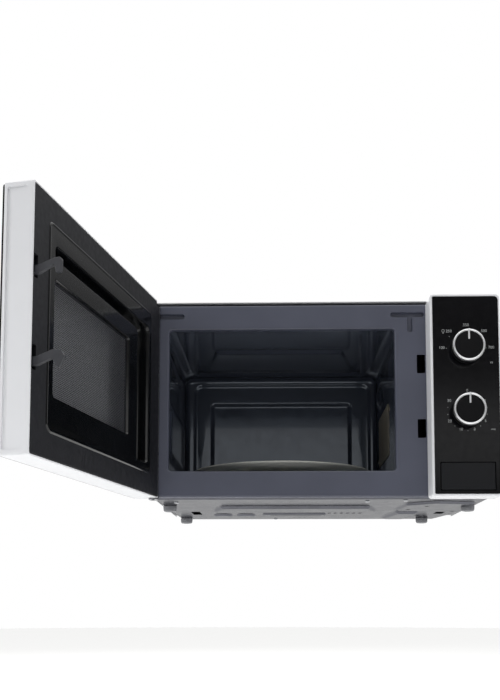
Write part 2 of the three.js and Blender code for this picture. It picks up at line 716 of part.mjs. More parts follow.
function doorFrame() {
  const { left, right, bottom, top, front, back } = DOOR;
  const shellFront = front + DOOR_GLASS + GAP;
  const planOutline = polygon([
    [left, shellFront], [right, shellFront], [right, back],
    [left + 3, back], [left, back - 3.5],
  ]);
  const outer = plateXY(planOutline, bottom, top, 1);
  const hollow = block(
    [left + DOOR_WALL, right - DOOR_WALL],
    [shellFront + DOOR_WALL, back + 1],
    [bottom + DOOR_WALL, top - DOOR_WALL]);
  const window = plateXZ(rectangle(-150, 90, 50, 220, 6), shellFront - 1, shellFront + 4, 2);
  const liningSeat = block([-213.3, right + 1], [back - 2.8, back + 1], [10.3, 258.3]);
  const postX = [left + 1, -207];
  const postY = [-13, -4.8];
  const posts = [block(postX, postY, [bottom, 24]), block(postX, postY, [238, top - 1])];
  const notch = block([left - 1, -204.5], [-17, 1], [253.9, top + 1]);
  const pinHoles = [
    rod("z", bottom - 1, 22, [HINGE.x, HINGE.y, 0], HINGE.hole, HINGE.hole, 14),
    rod("z", 242, top + 1, [HINGE.x, HINGE.y, 0], HINGE.hole, HINGE.hole, 14),
  ];
  const shell = cut(outer, hollow, window, liningSeat);
  return cut(join(shell, ...posts), notch, ...pinHoles);
}

function doorGlass() {
  const outline = rectangle(DOOR.left + 0.5, DOOR.right - 0.4, 8.4, 259.6, 4);
  return plateXZ(outline, DOOR.front, DOOR.front + DOOR_GLASS, 3);
}

// The dark inner lining, with a raised bead round a sunk trough and the window hole.
function doorLining() {
  const sheet = block([-213, 130.5], [-4.5, DOOR.back], [10.6, 253.6]);
  const upper = block([-204.2, 130.5], [-4.5, DOOR.back], [253, 258]);
  const window = plateXZ(rectangle(-140, 97, 42, 220, 8), -6, 0, 3);
  const troughOutline = rectangle(
    BEAD.left + 6, BEAD.right - 6, BEAD.bottom + 6, BEAD.top - 6, 12);
  const trough = plateXZ(troughOutline, -3.4, 0, 3);
  const hookSlots = [[170.6, 192.3], [86, 109]].map(
    (span) => block([120.8, 129], [-6, 0], span));
  return cut(join(sheet, upper), trough, window, ...hookSlots);
}

function doorInnerWindow() {
  return plateXZ(rectangle(-146, 103, 36, 226, 8), -5.6, -4.8, 3);
}

function doorScreen() {
  const plate = block([-204, 118], [-14, -13], [14, 254]);
  const rim = cut(
    block([-204, 118], [-14, -6], [14, 254]),
    block([-203, 117], [-15, 0], [15, 253]));
  return join(plate, rim);
}

// The two hooks are one moulding: a bar inside the door with an arm near each end.
function doorLatchHooks() {
  const across = [LATCH.left, LATCH.right];
  const bar = block(across, [LATCH.barFront, LATCH.barBack], [62, 214]);
  const upperHook = polygon([
    [-9, 173], [1.8, 173.2], [11, 177.8], [16.5, 180.2], [17.6, 178], [18.5, 172.8],
    [23.5, 173.4], [24, 184.5], [22, 187], [17, 186.6], [1.8, 181.5], [-9, 180],
  ]);
  const lowerHook = polygon([
    [-9, 89], [1.8, 89], [11, 92.6], [16.5, 94.5], [18, 92.8], [19.5, 87.8],
    [23.5, 85.9], [28.5, 96.4], [24.8, 102], [17, 102.7], [1.8, 97.3], [-9, 97],
  ]);
  return join(bar, plateYZ(upperHook, ...across), plateYZ(lowerHook, ...across));
}

function doorLatchSpring() {
  return coil("z", [125, -20, 118], 3.2, 26, 6, 1);
}

// ---- Assembly ----

const oven = new THREE.Group();
oven.position.set(CENTRING.x, CENTRING.y, 0);

part(oven, "cabinet_cover", "whitePaint", cabinetCover());
part(oven, "base_plate", "galvanised", basePlate());
part(oven, "rear_panel", "galvanised", rearPanel());
part(oven, "front_frame", "faceEnamel", frontFrame());
part(oven, "cavity_liner", "enamel", cavityLiner());
part(oven, "cord_inlet_grommet", "blackRubber", cordInletGrommet());
Object.entries(FEET).forEach(([name, place]) => part(oven, name, "greyPlastic", foot(...place)));

part(oven, "waveguide_cover", "mica", waveguideCover());
part(oven, "waveguide", "galvanised", waveguide());
part(oven, "magnetron", "aluminium", magnetron());
part(oven, "transformer_core", "darkSteel", transformerCore());
part(oven, "transformer_primary_coil", "copper", transformerCoil(-21.6, -1));
part(oven, "transformer_secondary_coil", "copper", transformerCoil(1, 21.6));
part(oven, "high_voltage_capacitor", "aluminium", capacitor());
part(oven, "capacitor_clamp", "galvanised", capacitorClamp());
part(oven, "high_voltage_diode", "blackRubber", diode());
part(oven, "line_filter_board", "board", lineFilterBoard());
part(oven, "cavity_lamp", "naturalPlastic", cavityLamp());
part(oven, "thermal_cutout", "aluminium", thermalCutout());

part(oven, "fan_shroud", "naturalPlastic", fanShroud());
part(oven, "fan_motor", "darkSteel", fanMotor());
part(oven, "fan_blade", "naturalPlastic", fanBlade());

part(oven, "latch_bracket", "blackPlastic", latchBracket());
part(oven, "primary_interlock_switch", "blackRubber", microswitch(176));
part(oven, "secondary_interlock_switch", "blackRubber", microswitch(152));
part(oven, "monitor_switch", "blackRubber", microswitch(98));
part(oven, "release_lever", "naturalPlastic", releaseLever());
part(oven, "release_lever_spring", "steel", leverSpring());
part(oven, "door_release_button", "buttonPlastic", releaseButton());

part(oven, "control_panel_housing", "whitePlastic", panelHousing());
part(oven, "control_panel_face", "blackGloss", panelFace());
part(oven, "timer_unit", "darkSteel", controlUnit(KNOB_HEIGHTS.timer, 27, 27, 40));
part(oven, "power_selector", "darkSteel", controlUnit(KNOB_HEIGHTS.power, 24, 21, 26));
Object.entries(KNOB_HEIGHTS).forEach(([name, z]) => {
  part(oven, `${name}_shaft`, "steel", controlShaft(z));
  part(oven, `${name}_knob`, "knobPlastic", knob(z));
  part(oven, `${name}_knob_ring`, "satinSilver", knobRing(z));
});

part(oven, "turntable_glass", "clearGlass", turntableGlass());
part(oven, "turntable_coupler", "naturalPlastic", turntableCoupler());
part(oven, "turntable_motor", "galvanised", turntableMotor());
part(oven, "roller_ring", "naturalPlastic", rollerRing());
[1, 2, 3].forEach((number) => {
  part(oven, `roller_wheel_${number}`, "naturalPlastic", rollerWheel(number - 1));
});

part(oven, "lower_hinge_bracket", "galvanised", hingeBracket(6.1, [6.1, 32], [7, 20]));
part(oven, "upper_hinge_bracket", "galvanised", hingeBracket(254.6, [232, 256.2], [244, 255]));

const hingeTurn = new THREE.Group();
hingeTurn.position.set(HINGE.x, HINGE.y, 0);
hingeTurn.rotation.z = -DOOR_OPEN;
oven.add(hingeTurn);

const door = new THREE.Group();
door.position.set(-HINGE.x, -HINGE.y, 0);
hingeTurn.add(door);

part(door, "door_frame", "whitePlastic", doorFrame());
part(door, "door_outer_glass", "blackGloss", doorGlass());
part(door, "door_inner_lining", "charcoalPlastic", doorLining());
part(door, "door_inner_window", "clearGlass", doorInnerWindow());
part(door, "door_screen", "darkSteel", doorScreen());
part(door, "door_latch_hooks", "hookPlastic", doorLatchHooks());
part(door, "door_latch_spring", "steel", doorLatchSpring());

export default oven;
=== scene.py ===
"""A compact microwave oven with its door open: the fine shapes, finishes, light and camera."""

import json
import math

import bmesh
import bpy
from mathutils import Matrix, Vector
from mathutils.geometry import tessellate_polygon


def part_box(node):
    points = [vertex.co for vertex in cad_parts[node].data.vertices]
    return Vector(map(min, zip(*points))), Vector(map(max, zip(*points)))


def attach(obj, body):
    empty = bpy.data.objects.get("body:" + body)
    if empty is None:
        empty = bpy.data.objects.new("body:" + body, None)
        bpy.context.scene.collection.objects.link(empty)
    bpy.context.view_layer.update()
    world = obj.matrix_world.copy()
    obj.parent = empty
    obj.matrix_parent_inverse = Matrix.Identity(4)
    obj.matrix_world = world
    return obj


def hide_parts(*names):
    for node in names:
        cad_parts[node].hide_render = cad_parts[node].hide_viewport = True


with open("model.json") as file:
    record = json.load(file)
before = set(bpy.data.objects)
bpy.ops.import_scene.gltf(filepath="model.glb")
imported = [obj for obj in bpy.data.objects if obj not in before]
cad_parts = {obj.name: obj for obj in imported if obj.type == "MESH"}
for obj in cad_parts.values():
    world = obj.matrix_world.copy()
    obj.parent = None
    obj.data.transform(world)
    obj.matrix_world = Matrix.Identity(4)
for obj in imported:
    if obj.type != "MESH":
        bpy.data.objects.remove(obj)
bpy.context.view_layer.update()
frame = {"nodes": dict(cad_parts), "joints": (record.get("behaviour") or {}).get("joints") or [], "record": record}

# ---- Coordinates: millimetres in the cabinet's own frame ----
# x = 0 is the middle of the cabinet, y = 0 the front of its steel face, z = 0 the worktop.

MM = 0.001
cover_low, cover_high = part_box("cabinet_cover")
ORIGIN = Vector(((cover_low.x + cover_high.x) / 2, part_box("front_frame")[0].y, 0))


def at(x, y, z):
    return ORIGIN + Vector((x, y, z)) * MM


def span(node):
    """A CAD node's x, y and z limits in millimetres."""
    low, high = ((corner - ORIGIN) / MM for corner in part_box(node))
    return tuple((low[i], high[i]) for i in range(3))


def door_turn():
    """Carries a point of the closed door to where the open door stands."""
    hinge = next(joint for joint in frame["joints"] if joint["name"] == "door_hinge")
    pin = Vector(hinge["pos_m"])
    turn = Matrix.Rotation(-math.radians(hinge["range_deg"][1]), 4, "Z")
    return Matrix.Translation(pin) @ turn @ Matrix.Translation(-pin)


DOOR = door_turn()

(FACE_X, _, FACE_Z) = span("front_frame")
(CAVITY_X, CAVITY_Y, CAVITY_Z) = span("cavity_liner")
(COVER_X, COVER_Y, COVER_Z) = span("cabinet_cover")
(PANEL_X, PANEL_Y, PANEL_Z) = span("control_panel_housing")
(PLATE_X, PLATE_Y, PLATE_Z) = span("control_panel_face")
(BUTTON_X, BUTTON_Y, BUTTON_Z) = span("door_release_button")

MOUTH = (-194.2, 93.7, 43.4, 226.1)
MOUTH_RADIUS = 4.5
LATCH_SLOT_X = (121.7, 132.2)
LATCH_SLOTS = ((84.8, 108.9), (168, 192))
DOOR_SIDES = (-218, 131.2, 8, 260)
DOOR_FRONT = -33.5
DOOR_BACK = -2
BEAD = (-182, 99.4, 34.6, 235.5)
HOOK_X = (123, 127.3)
HOOK_SLOTS = ((86, 109), (170.6, 192.3))
HINGE_PIN = (-212, -7.5)
FEET = ["foot_front_left", "foot_front_right", "foot_rear_left", "foot_rear_right"]

(turntable_x, turntable_y, _) = span("turntable_glass")
TURNTABLE_CENTRE = (sum(turntable_x) / 2, sum(turntable_y) / 2)


# ---- Outlines: each is a function from an inset to a ring of points ----

CORNER_STEPS = 6


def rounded(corners, radius, steps=CORNER_STEPS):
    """A counter-clockwise polygon with round corners, which can shrink by an inset."""
    radii = radius if isinstance(radius, (list, tuple)) else [radius] * len(corners)
    points = [Vector(corner) for corner in corners]

    def inner_corner(i, inset):
        before, here, after = points[i - 1], points[i], points[(i + 1) % len(points)]
        a = (here - before).normalized()
        b = (after - here).normalized()
        normal_a, normal_b = Vector((-a.y, a.x)), Vector((-b.y, b.x))
        return here + (normal_a + normal_b) * inset / (1 + normal_a.dot(normal_b))

    def ring(inset=0.0):
        moved = [inner_corner(i, inset) for i in range(len(points))]
        outline = []
        for i, here in enumerate(moved):
            to_before = (moved[i - 1] - here).normalized()
            to_after = (moved[(i + 1) % len(moved)] - here).normalized()
            turn = to_before.cross(to_after)
            grow = inset if turn > 0 else -inset
            size = max(radii[i] + grow, 0.15)
            half = math.acos(max(-1, min(1, to_before.dot(to_after)))) / 2
            centre = here + (to_before + to_after).normalized() * size / math.sin(half)
            start = here + to_before * size / math.tan(half) - centre
            end = here + to_after * size / math.tan(half) - centre
            sweep = math.atan2(start.cross(end), start.dot(end))
            for step in range(steps + 1):
                angle = sweep * step / steps
                cosine, sine = math.cos(angle), math.sin(angle)
                outline.append((
                    centre.x + start.x * cosine - start.y * sine,
                    centre.y + start.x * sine + start.y * cosine,
                ))
        return outline

    return ring


def box_outline(left, right, bottom, top, radius, steps=CORNER_STEPS):
    corners = [(left, bottom), (right, bottom), (right, top), (left, top)]
    return rounded(corners, radius, steps)


def grown(edges, margin):
    """Left, right, bottom and top edges, each moved outwards."""
    left, right, bottom, top = edges
    return left - margin, right + margin, bottom - margin, top + margin


def square_box(left, right, bottom, top):
    return box_outline(left, right, bottom, top, 0.01, 1)


def disc(u, v, radius, sides=32):
    def ring(inset=0.0):
        size = radius - inset
        angles = [2 * math.pi * i / sides for i in range(sides)]
        return [(u + size * math.cos(a), v + size * math.sin(a)) for a in angles]

    return ring


# ---- Planes: each carries (u, v) and a height w along its outward normal into the frame ----


def facing_front(y):
    return lambda u, v, w: (u, y - w, v)


def facing_back(y):
    return lambda u, v, w: (-u, y + w, v)


def facing_up(z):
    return lambda u, v, w: (u, v, z + w)


def facing_down(z):
    return lambda u, v, w: (u, -v, z - w)


def facing_right(x):
    return lambda u, v, w: (x + w, u, v)


def facing_left(x):
    return lambda u, v, w: (x - w, -u, v)


# ---- Shapes ----


class Shape:
    """Vertices in millimetres, and faces."""

    def __init__(self):
        self.verts = []
        self.faces = []

    def ring(self, points):
        first = len(self.verts)
        self.verts.extend(tuple(point) for point in points)
        return list(range(first, len(self.verts)))

    def bridge(self, outer, inner, closed=True):
        count = len(outer) if closed else len(outer) - 1
        for i in range(count):
            j = (i + 1) % len(outer)
            self.faces.append((outer[i], outer[j], inner[j], inner[i]))

    def fill(self, flat_rings, rings):
        """Triangles between an outer ring and holes; flat_rings give their (u, v) points."""
        flat = [point for ring in flat_rings for point in ring]
        index = [i for ring in rings for i in ring]
        loops = [[Vector((u, v, 0)) for u, v in ring] for ring in flat_rings]
        for a, b, c in tessellate_polygon(loops):
            (ax, ay), (bx, by), (cx, cy) = flat[a], flat[b], flat[c]
            twice_area = (bx - ax) * (cy - ay) - (cx - ax) * (by - ay)
            if abs(twice_area) > 1e-9:
                order = (a, b, c) if twice_area > 0 else (a, c, b)
                self.faces.append(tuple(index[i] for i in order))

    def add(self, other):
        first = len(self.verts)
        self.verts.extend(other.verts)
        self.faces.extend(tuple(i + first for i in face) for face in other.faces)


def together(*shapes):
    whole = Shape()
    for shape in shapes:
        whole.add(shape)
    return whole


def soft_step(rise, width, steps=6):
    """The profile of a pressed edge: pairs of inset and height."""
    return [
        (width * i / steps, rise * (1 - math.cos(math.pi * i / steps)) / 2)
        for i in range(1, steps + 1)
    ]


def rolled_lip(radius, depth, steps=5):
    """The profile of an edge rolled back round a quarter circle to a straight lip."""
    angles = [math.pi / 2 * i / steps for i in range(1, steps + 1)]
    roll = [(radius * math.sin(a), -radius * (1 - math.cos(a))) for a in angles]
    return [*roll, (radius, -depth)]


def feature(outline, profile, inside=(), floor=True):
    return {"outline": outline, "profile": profile, "inside": inside, "floor": floor}


def pressed(outline, rise, width, inside=()):
    return feature(outline, soft_step(rise, width), inside)


def hole(outline):
    return feature(outline, [], floor=False)


def slit(left, right, bottom, top, radius=1.4, steps=3):
    """An opening with round ends or corners."""
    return hole(box_outline(left, right, bottom, top, radius, steps))


def round_hole(u, v, radius, sides=16):
    return hole(disc(u, v, radius, sides))


def sheet(place, outline, features=(), skirt=((0, 0),)):
    """A sheet in a plane, with pressed features and holes; the skirt leads in from its edge."""
    shape = Shape()

    def surface(flat_edge, edge, level, inner):
        flat_rings, rings = [flat_edge], [edge]
        for item in inner:
            points = item["outline"](0)
            ring = shape.ring(place(u, v, level) for u, v in points)
            flat_rings.append(points)
            rings.append(ring)
            height = level
            for inset, rise in item["profile"]:
                height = level + rise
                points = item["outline"](inset)
                following = shape.ring(place(u, v, height) for u, v in points)
                shape.bridge(ring, following)
                ring = following
            if item["floor"]:
                surface(points, ring, height, item["inside"])
        shape.fill(flat_rings, rings)

    edge = None
    for inset, level in skirt:
        points = outline(inset)
        ring = shape.ring(place(u, v, level) for u, v in points)
        if edge:
            shape.bridge(edge, ring)
        edge = ring
    surface(points, edge, level, features)
    return shape


def perforated(place, across, up, pitch, radius, level=0.0, sides=6):
    """A flat field of staggered holes that fills a rectangle."""
    shape = Shape()
    row_height = pitch * math.sqrt(3) / 2
    rows = max(1, round((up[1] - up[0]) / row_height))
    row_height = (up[1] - up[0]) / rows
    columns = max(2, round((across[1] - across[0]) / pitch))
    width = (across[1] - across[0]) / columns

    def plain(u0, u1, v0, v1):
        corners = [(u0, v0), (u1, v0), (u1, v1), (u0, v1)]
        shape.faces.append(tuple(shape.ring(place(u, v, level) for u, v in corners)))

    for row in range(rows):
        v0 = up[0] + row * row_height
        v1 = v0 + row_height
        shift = width / 2 if row % 2 else 0
        if shift:
            plain(across[0], across[0] + shift, v0, v1)
            plain(across[1] - shift, across[1], v0, v1)
        for column in range(columns - (row % 2)):
            u0 = across[0] + shift + column * width
            u1 = u0 + width
            u, v = (u0 + u1) / 2, (v0 + v1) / 2
            corners = [(u1, v0), (u1, v1), (u0, v1), (u0, v0)]
            cell = shape.ring(place(a, b, level) for a, b in corners)
            angles = [2 * math.pi * i / sides for i in range(sides)]
            rim = shape.ring(
                place(u + radius * math.cos(a), v + radius * math.sin(a), level) for a in angles)
            quarter = sides // 6
            east, north_east, north_west = rim[0], rim[quarter], rim[2 * quarter]
            west, south_west, south_east = rim[3 * quarter], rim[4 * quarter], rim[5 * quarter]
            shape.faces.extend([
                (cell[0], cell[1], north_east, east, south_east),
                (cell[1], cell[2], north_west, north_east),
                (cell[2], cell[3], south_west, west, north_west),
                (cell[3], cell[0], south_east, south_west),
            ])
    return shape


def loft(rings, cap_first=True, cap_last=True):
    """A body through rings of equal length, each a list of (x, y, z)."""
    shape = Shape()
    indexed = [shape.ring(points) for points in rings]
    for first, second in zip(indexed, indexed[1:]):
        shape.bridge(first, second)
    if cap_first:
        shape.faces.append(tuple(reversed(indexed[0])))
    if cap_last:
        shape.faces.append(tuple(indexed[-1]))
    return shape


def turned_body(place, profile, sides=48, centre=(0, 0)):
    """A body of revolution about the plane's normal; the profile lists (radius, height)."""
    rings = []
    for radius, height in profile:
        points = disc(*centre, max(radius, 0.01), sides)(0)
        rings.append([place(u, v, height) for u, v in points])
    return loft(rings)


def prism(place, outline, low, high, edge=0.4, steps=2):
    """An extruded outline whose two rims are rounded."""
    angles = [math.pi / 2 * i / steps for i in range(steps + 1)]
    lower = [(edge * (1 - math.sin(a)), low + edge * (1 - math.cos(a))) for a in angles]
    upper = [(edge * (1 - math.cos(a)), high - edge * (1 - math.sin(a))) for a in angles]
    rings = [[place(u, v, level) for u, v in outline(inset)] for inset, level in lower + upper]
    shape = loft(rings, cap_first=False, cap_last=False)
    count = len(rings[0])
    first = list(range(count))
    last = list(range(len(shape.verts) - count, len(shape.verts)))
    flat = outline(edge)
    faces_before = len(shape.faces)
    shape.fill([flat], [first])
    shape.faces[faces_before:] = [tuple(reversed(f)) for f in shape.faces[faces_before:]]
    shape.fill([flat], [last])
    return shape


def plate(place, left, right, bottom, top, low, high, radius=1.0, edge=0.4):
    return prism(place, box_outline(left, right, bottom, top, radius, 3), low, high, edge)


def screw_head(place, u, v, radius=3.4, height=1.6):
    """A pan head with a cross recess."""
    dome = [
        (radius, 0), (radius, height * 0.45), (radius * 0.85, height * 0.85), (radius * 0.5, height),
        (0, height * 1.02),
    ]
    shape = turned_body(place, dome, 24, (u, v))
    arm, width = radius * 0.55, radius * 0.16
    cross = [
        (-width, -arm), (width, -arm), (width, -width), (arm, -width), (arm, width), (width, width),
        (width, arm), (-width, arm), (-width, width), (-arm, width), (-arm, -width), (-width, -width),
    ]
    outline = rounded([(u + a, v + b) for a, b in cross], 0.05, 1)
    recess = prism(place, outline, height * 0.9, height * 1.06, 0.03, 1)
    return together(shape, recess)


# ---- Pieces ----


def carve(obj, cutters):
    """Cuts closed shapes out of a closed piece."""
    for cutter in cutters:
        tool = mesh_object("cutter", cutter)
        step = obj.modifiers.new("cut", "BOOLEAN")
        step.object = tool
        step.operation = "DIFFERENCE"
        step.solver = "EXACT"
        apply_modifiers(obj)
        bpy.data.objects.remove(tool)


def mesh_object(name, shape):
    mesh = bpy.data.meshes.new(name)
    mesh.from_pydata([at(*vert) for vert in shape.verts], [], shape.faces)
    work = bmesh.new()
    work.from_mesh(mesh)
    bmesh.ops.remove_doubles(work, verts=work.verts, dist=0.02 * MM)
    bmesh.ops.dissolve_degenerate(work, edges=work.edges, dist=0.005 * MM)
    work.to_mesh(mesh)
    work.free()
    obj = bpy.data.objects.new(name, mesh)
    bpy.context.scene.collection.objects.link(obj)
    return obj


def apply_modifiers(obj):
    evaluated = obj.evaluated_get(bpy.context.evaluated_depsgraph_get())
    finished = bpy.data.meshes.new_from_object(evaluated)
    obj.modifiers.clear()
    obj.data = finished


def piece(name, shape, body, slot, replaces=(), door=False, thickness=0.0, cutters=(), sharp=38,
          finish=None):
    """Makes one piece of the oven. A sheet gets its thickness behind its outward face."""
    obj = mesh_object(name, shape)
    carve(obj, cutters)
    if door:
        obj.data.transform(DOOR)
    if thickness:
        step = obj.modifiers.new("thickness", "SOLIDIFY")
        step.thickness = thickness * MM
        step.offset = -1
        step.use_even_offset = True
        apply_modifiers(obj)
    obj.data.polygons.foreach_set("use_smooth", [True] * len(obj.data.polygons))
    obj.data.set_sharp_from_angle(angle=math.radians(sharp))
    weights = obj.modifiers.new("flat faces lead", "WEIGHTED_NORMAL")
    weights.keep_sharp = True
    weights.weight = 80
    obj.data.materials.clear()
    obj.data.materials.append(finish or FINISHES[slot])
    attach(obj, body)
    if replaces:
        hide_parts(*replaces)
    return obj


# ---- Finishes ----


def linear(text):
    """A colour written as six hex digits, as the shader's linear values."""
    values = [int(text[i:i + 2], 16) / 255 for i in (0, 2, 4)]
    return tuple(v / 12.92 if v <= 0.04045 else ((v + 0.055) / 1.055) ** 2.4 for v in values)


def shaded(colour, share):
    return (*[min(1.0, channel * share) for channel in colour], 1)


class Finish:
    """A principled material, and the few node steps that the finishes share."""

    def __init__(self, name, colour, metallic=0.0, **plain):
        self.base = linear(colour)
        self.material = bpy.data.materials.new(name)
        self.material.use_nodes = True
        self.tree = self.material.node_tree
        self.shader = self.tree.nodes["Principled BSDF"]
        self.shader.inputs["Metallic"].default_value = metallic
        for socket, value in plain.items():
            self.shader.inputs[socket.replace("_", " ")].default_value = value
        self.coordinates = self.node("ShaderNodeTexCoord").outputs["Object"]

    def node(self, kind, **inputs):
        made = self.tree.nodes.new(kind)
        for socket, value in inputs.items():
            target = made.inputs[socket.replace("_", " ")]
            if isinstance(value, bpy.types.NodeSocket):
                self.tree.links.new(value, target)
            else:
                target.default_value = value
        return made

    def noise(self, scale, detail=3.0, stretch=None):
        where = self.coordinates
        if stretch:
            where = self.node("ShaderNodeMapping", Vector=where, Scale=stretch).outputs[0]
        made = self.node("ShaderNodeTexNoise", Vector=where, Scale=scale, Detail=detail)
        return made.outputs[0]

    def cells(self, scale, feature="F1", output="Distance"):
        made = self.node("ShaderNodeTexVoronoi", Vector=self.coordinates, Scale=scale)
        made.feature = feature
        return made.outputs[output]

    def remap(self, value, low, high, out_low, out_high):
        made = self.tree.nodes.new("ShaderNodeMapRange")
        self.tree.links.new(value, made.inputs["Value"])
        limits = zip(("From Min", "From Max", "To Min", "To Max"), (low, high, out_low, out_high))
        for socket, limit in limits:
            made.inputs[socket].default_value = limit
        return made.outputs["Result"]

    def blend(self, factor, first, second):
        made = self.tree.nodes.new("ShaderNodeMix")
        made.data_type = "RGBA"
        self.tree.links.new(factor, made.inputs["Factor"])
        for socket, colour in ((made.inputs[6], first), (made.inputs[7], second)):
            if isinstance(colour, bpy.types.NodeSocket):
                self.tree.links.new(colour, socket)
            else:
                socket.default_value = colour
        return made.outputs[2]

    def colour(self, source):
        self.tree.links.new(source, self.shader.inputs["Base Color"])

    def mottled(self, factor, low, high):
        """The base colour, wandering between two shares of itself."""
        self.colour(self.blend(factor, shaded(self.base, low), shaded(self.base, high)))

    def roughness(self, source):
        self.tree.links.new(source, self.shader.inputs["Roughness"])

    def uneven(self, source, low, high):
        """Roughness that follows a noise between two values."""
        self.roughness(self.remap(source, 0.3, 0.7, low, high))

    def bump(self, height, distance, strength=0.5, below=None):
        made = self.tree.nodes.new("ShaderNodeBump")
        made.inputs["Strength"].default_value = strength
        made.inputs["Distance"].default_value = distance * MM
        self.tree.links.new(height, made.inputs["Height"])
        if below:
            self.tree.links.new(below, made.inputs["Normal"])
        self.tree.links.new(made.outputs["Normal"], self.shader.inputs["Normal"])
        return made.outputs["Normal"]


def moulded(name, colour, rough, grain=1600, depth=0.02, spread=0.06, vary=0.06, **plain):
    """Moulded plastic or rubber: faint mottling and a fine grain."""
    made = Finish(name, colour, **plain)
    made.mottled(made.remap(made.noise(28, 4), 0.3, 0.7, 0, 1), 1 - vary, 1 + vary)
    made.uneven(made.noise(160, 2), rough - spread, rough + spread)
    made.bump(made.noise(grain, 2), depth, 0.6)
    return made.material


def enamelled(name, colour, rough, speckle=0.12, flow=0.03, vary=0.08, **plain):
    """Stove enamel or powder paint: fine speckle over a slow orange-peel swell."""
    made = Finish(name, colour, **plain)
    slow = made.remap(made.noise(14, 3), 0.3, 0.7, 0, 1)
    body = made.blend(slow, shaded(made.base, 1 - vary), shaded(made.base, 1 + vary))
    flecks = made.remap(made.noise(2600, 1), 0.62, 0.72, 0, speckle)
    made.colour(made.blend(flecks, body, shaded(made.base, 2.2)))
    made.uneven(made.noise(90, 3), rough - 0.04, rough + 0.05)
    swell = made.bump(made.noise(210, 2), flow * 3, 0.35)
    made.bump(made.noise(1500, 1), flow * 0.4, 0.1, swell)
    return made.material


def rolled_steel(name, colour, rough, spangle=70, contrast=0.18, spread=0.1, **plain):
    """Zinc-coated sheet: crystal spangles, each with its own tone and gloss."""
    made = Finish(name, colour, metallic=0.9, **plain)
    crystal = made.tree.nodes.new("ShaderNodeTexVoronoi")
    crystal.inputs["Scale"].default_value = spangle
    warp = made.node("ShaderNodeTexNoise", Vector=made.coordinates, Scale=60.0)
    shift = made.tree.nodes.new("ShaderNodeVectorMath")
    shift.operation = "MULTIPLY_ADD"
    made.tree.links.new(warp.outputs["Color"], shift.inputs[0])
    shift.inputs[1].default_value = (0.02, 0.02, 0.02)
    made.tree.links.new(made.coordinates, shift.inputs[2])
    made.tree.links.new(shift.outputs[0], crystal.inputs["Vector"])
    tone = made.node("ShaderNodeSeparateColor", Color=crystal.outputs["Color"]).outputs[0]
    made.mottled(tone, 1 - contrast, 1 + contrast)
    made.roughness(made.remap(tone, 0, 1, rough - 0.8 * spread, rough + 1.2 * spread))
    made.bump(made.noise(500, 3), 0.02, 0.5)
    return made.material


def turned_metal(name, colour, rough, stretch=(1, 1, 1), grain=900, **plain):
    """Polished or drawn metal with fine lines."""
    made = Finish(name, colour, metallic=1.0, **plain)
    lines = made.noise(grain, 2, stretch)
    made.mottled(lines, 0.92, 1.06)
    made.uneven(lines, rough - 0.05, rough + 0.08)
    made.bump(lines, 0.006, 0.5)
    return made.material


def clear(name, colour, rough, clarity):
    """Glass with a faint tint and a few soft waves."""
    made = Finish(name, colour, Transmission_Weight=clarity, IOR=1.47)
    made.mottled(made.noise(20, 2), 0.95, 1.04)
    made.uneven(made.noise(120, 2), rough - 0.02, rough + 0.03)
    made.bump(made.noise(45, 1), 0.05, 0.15)
    return made.material


def winding(name, colour):
    """Enamelled copper wire wound in close turns."""
    made = Finish(name, colour, metallic=0.85)
    wave = made.node("ShaderNodeTexWave", Vector=made.coordinates, Scale=180.0, Distortion=0.6)
    wave.bands_direction = "Z"
    turns = wave.outputs["Fac"]
    made.mottled(turns, 0.55, 1.15)
    made.uneven(made.noise(200, 2), 0.28, 0.45)
    made.bump(turns, 0.4, 0.7)
    return made.material


def layered(name, colour):
    """Mica board: pale flakes pressed in layers."""
    made = Finish(name, colour)
    flakes = made.cells(420, output="Color")
    tone = made.node("ShaderNodeSeparateColor", Color=flakes).outputs[0]
    made.mottled(tone, 0.84, 1.16)
    made.roughness(made.remap(tone, 0, 1, 0.42, 0.62))
    made.bump(made.noise(300, 4), 0.05, 0.5)
    return made.material


def circuit(name, colour):
    """Circuit board lacquer over copper tracks."""
    made = Finish(name, colour)
    tracks = made.remap(made.cells(160, "DISTANCE_TO_EDGE"), 0.04, 0.09, 0, 1)
    made.mottled(tracks, 1.5, 0.9)
    made.uneven(made.noise(120, 2), 0.35, 0.5)
    made.bump(tracks, 0.05, 0.4)
    return made.material


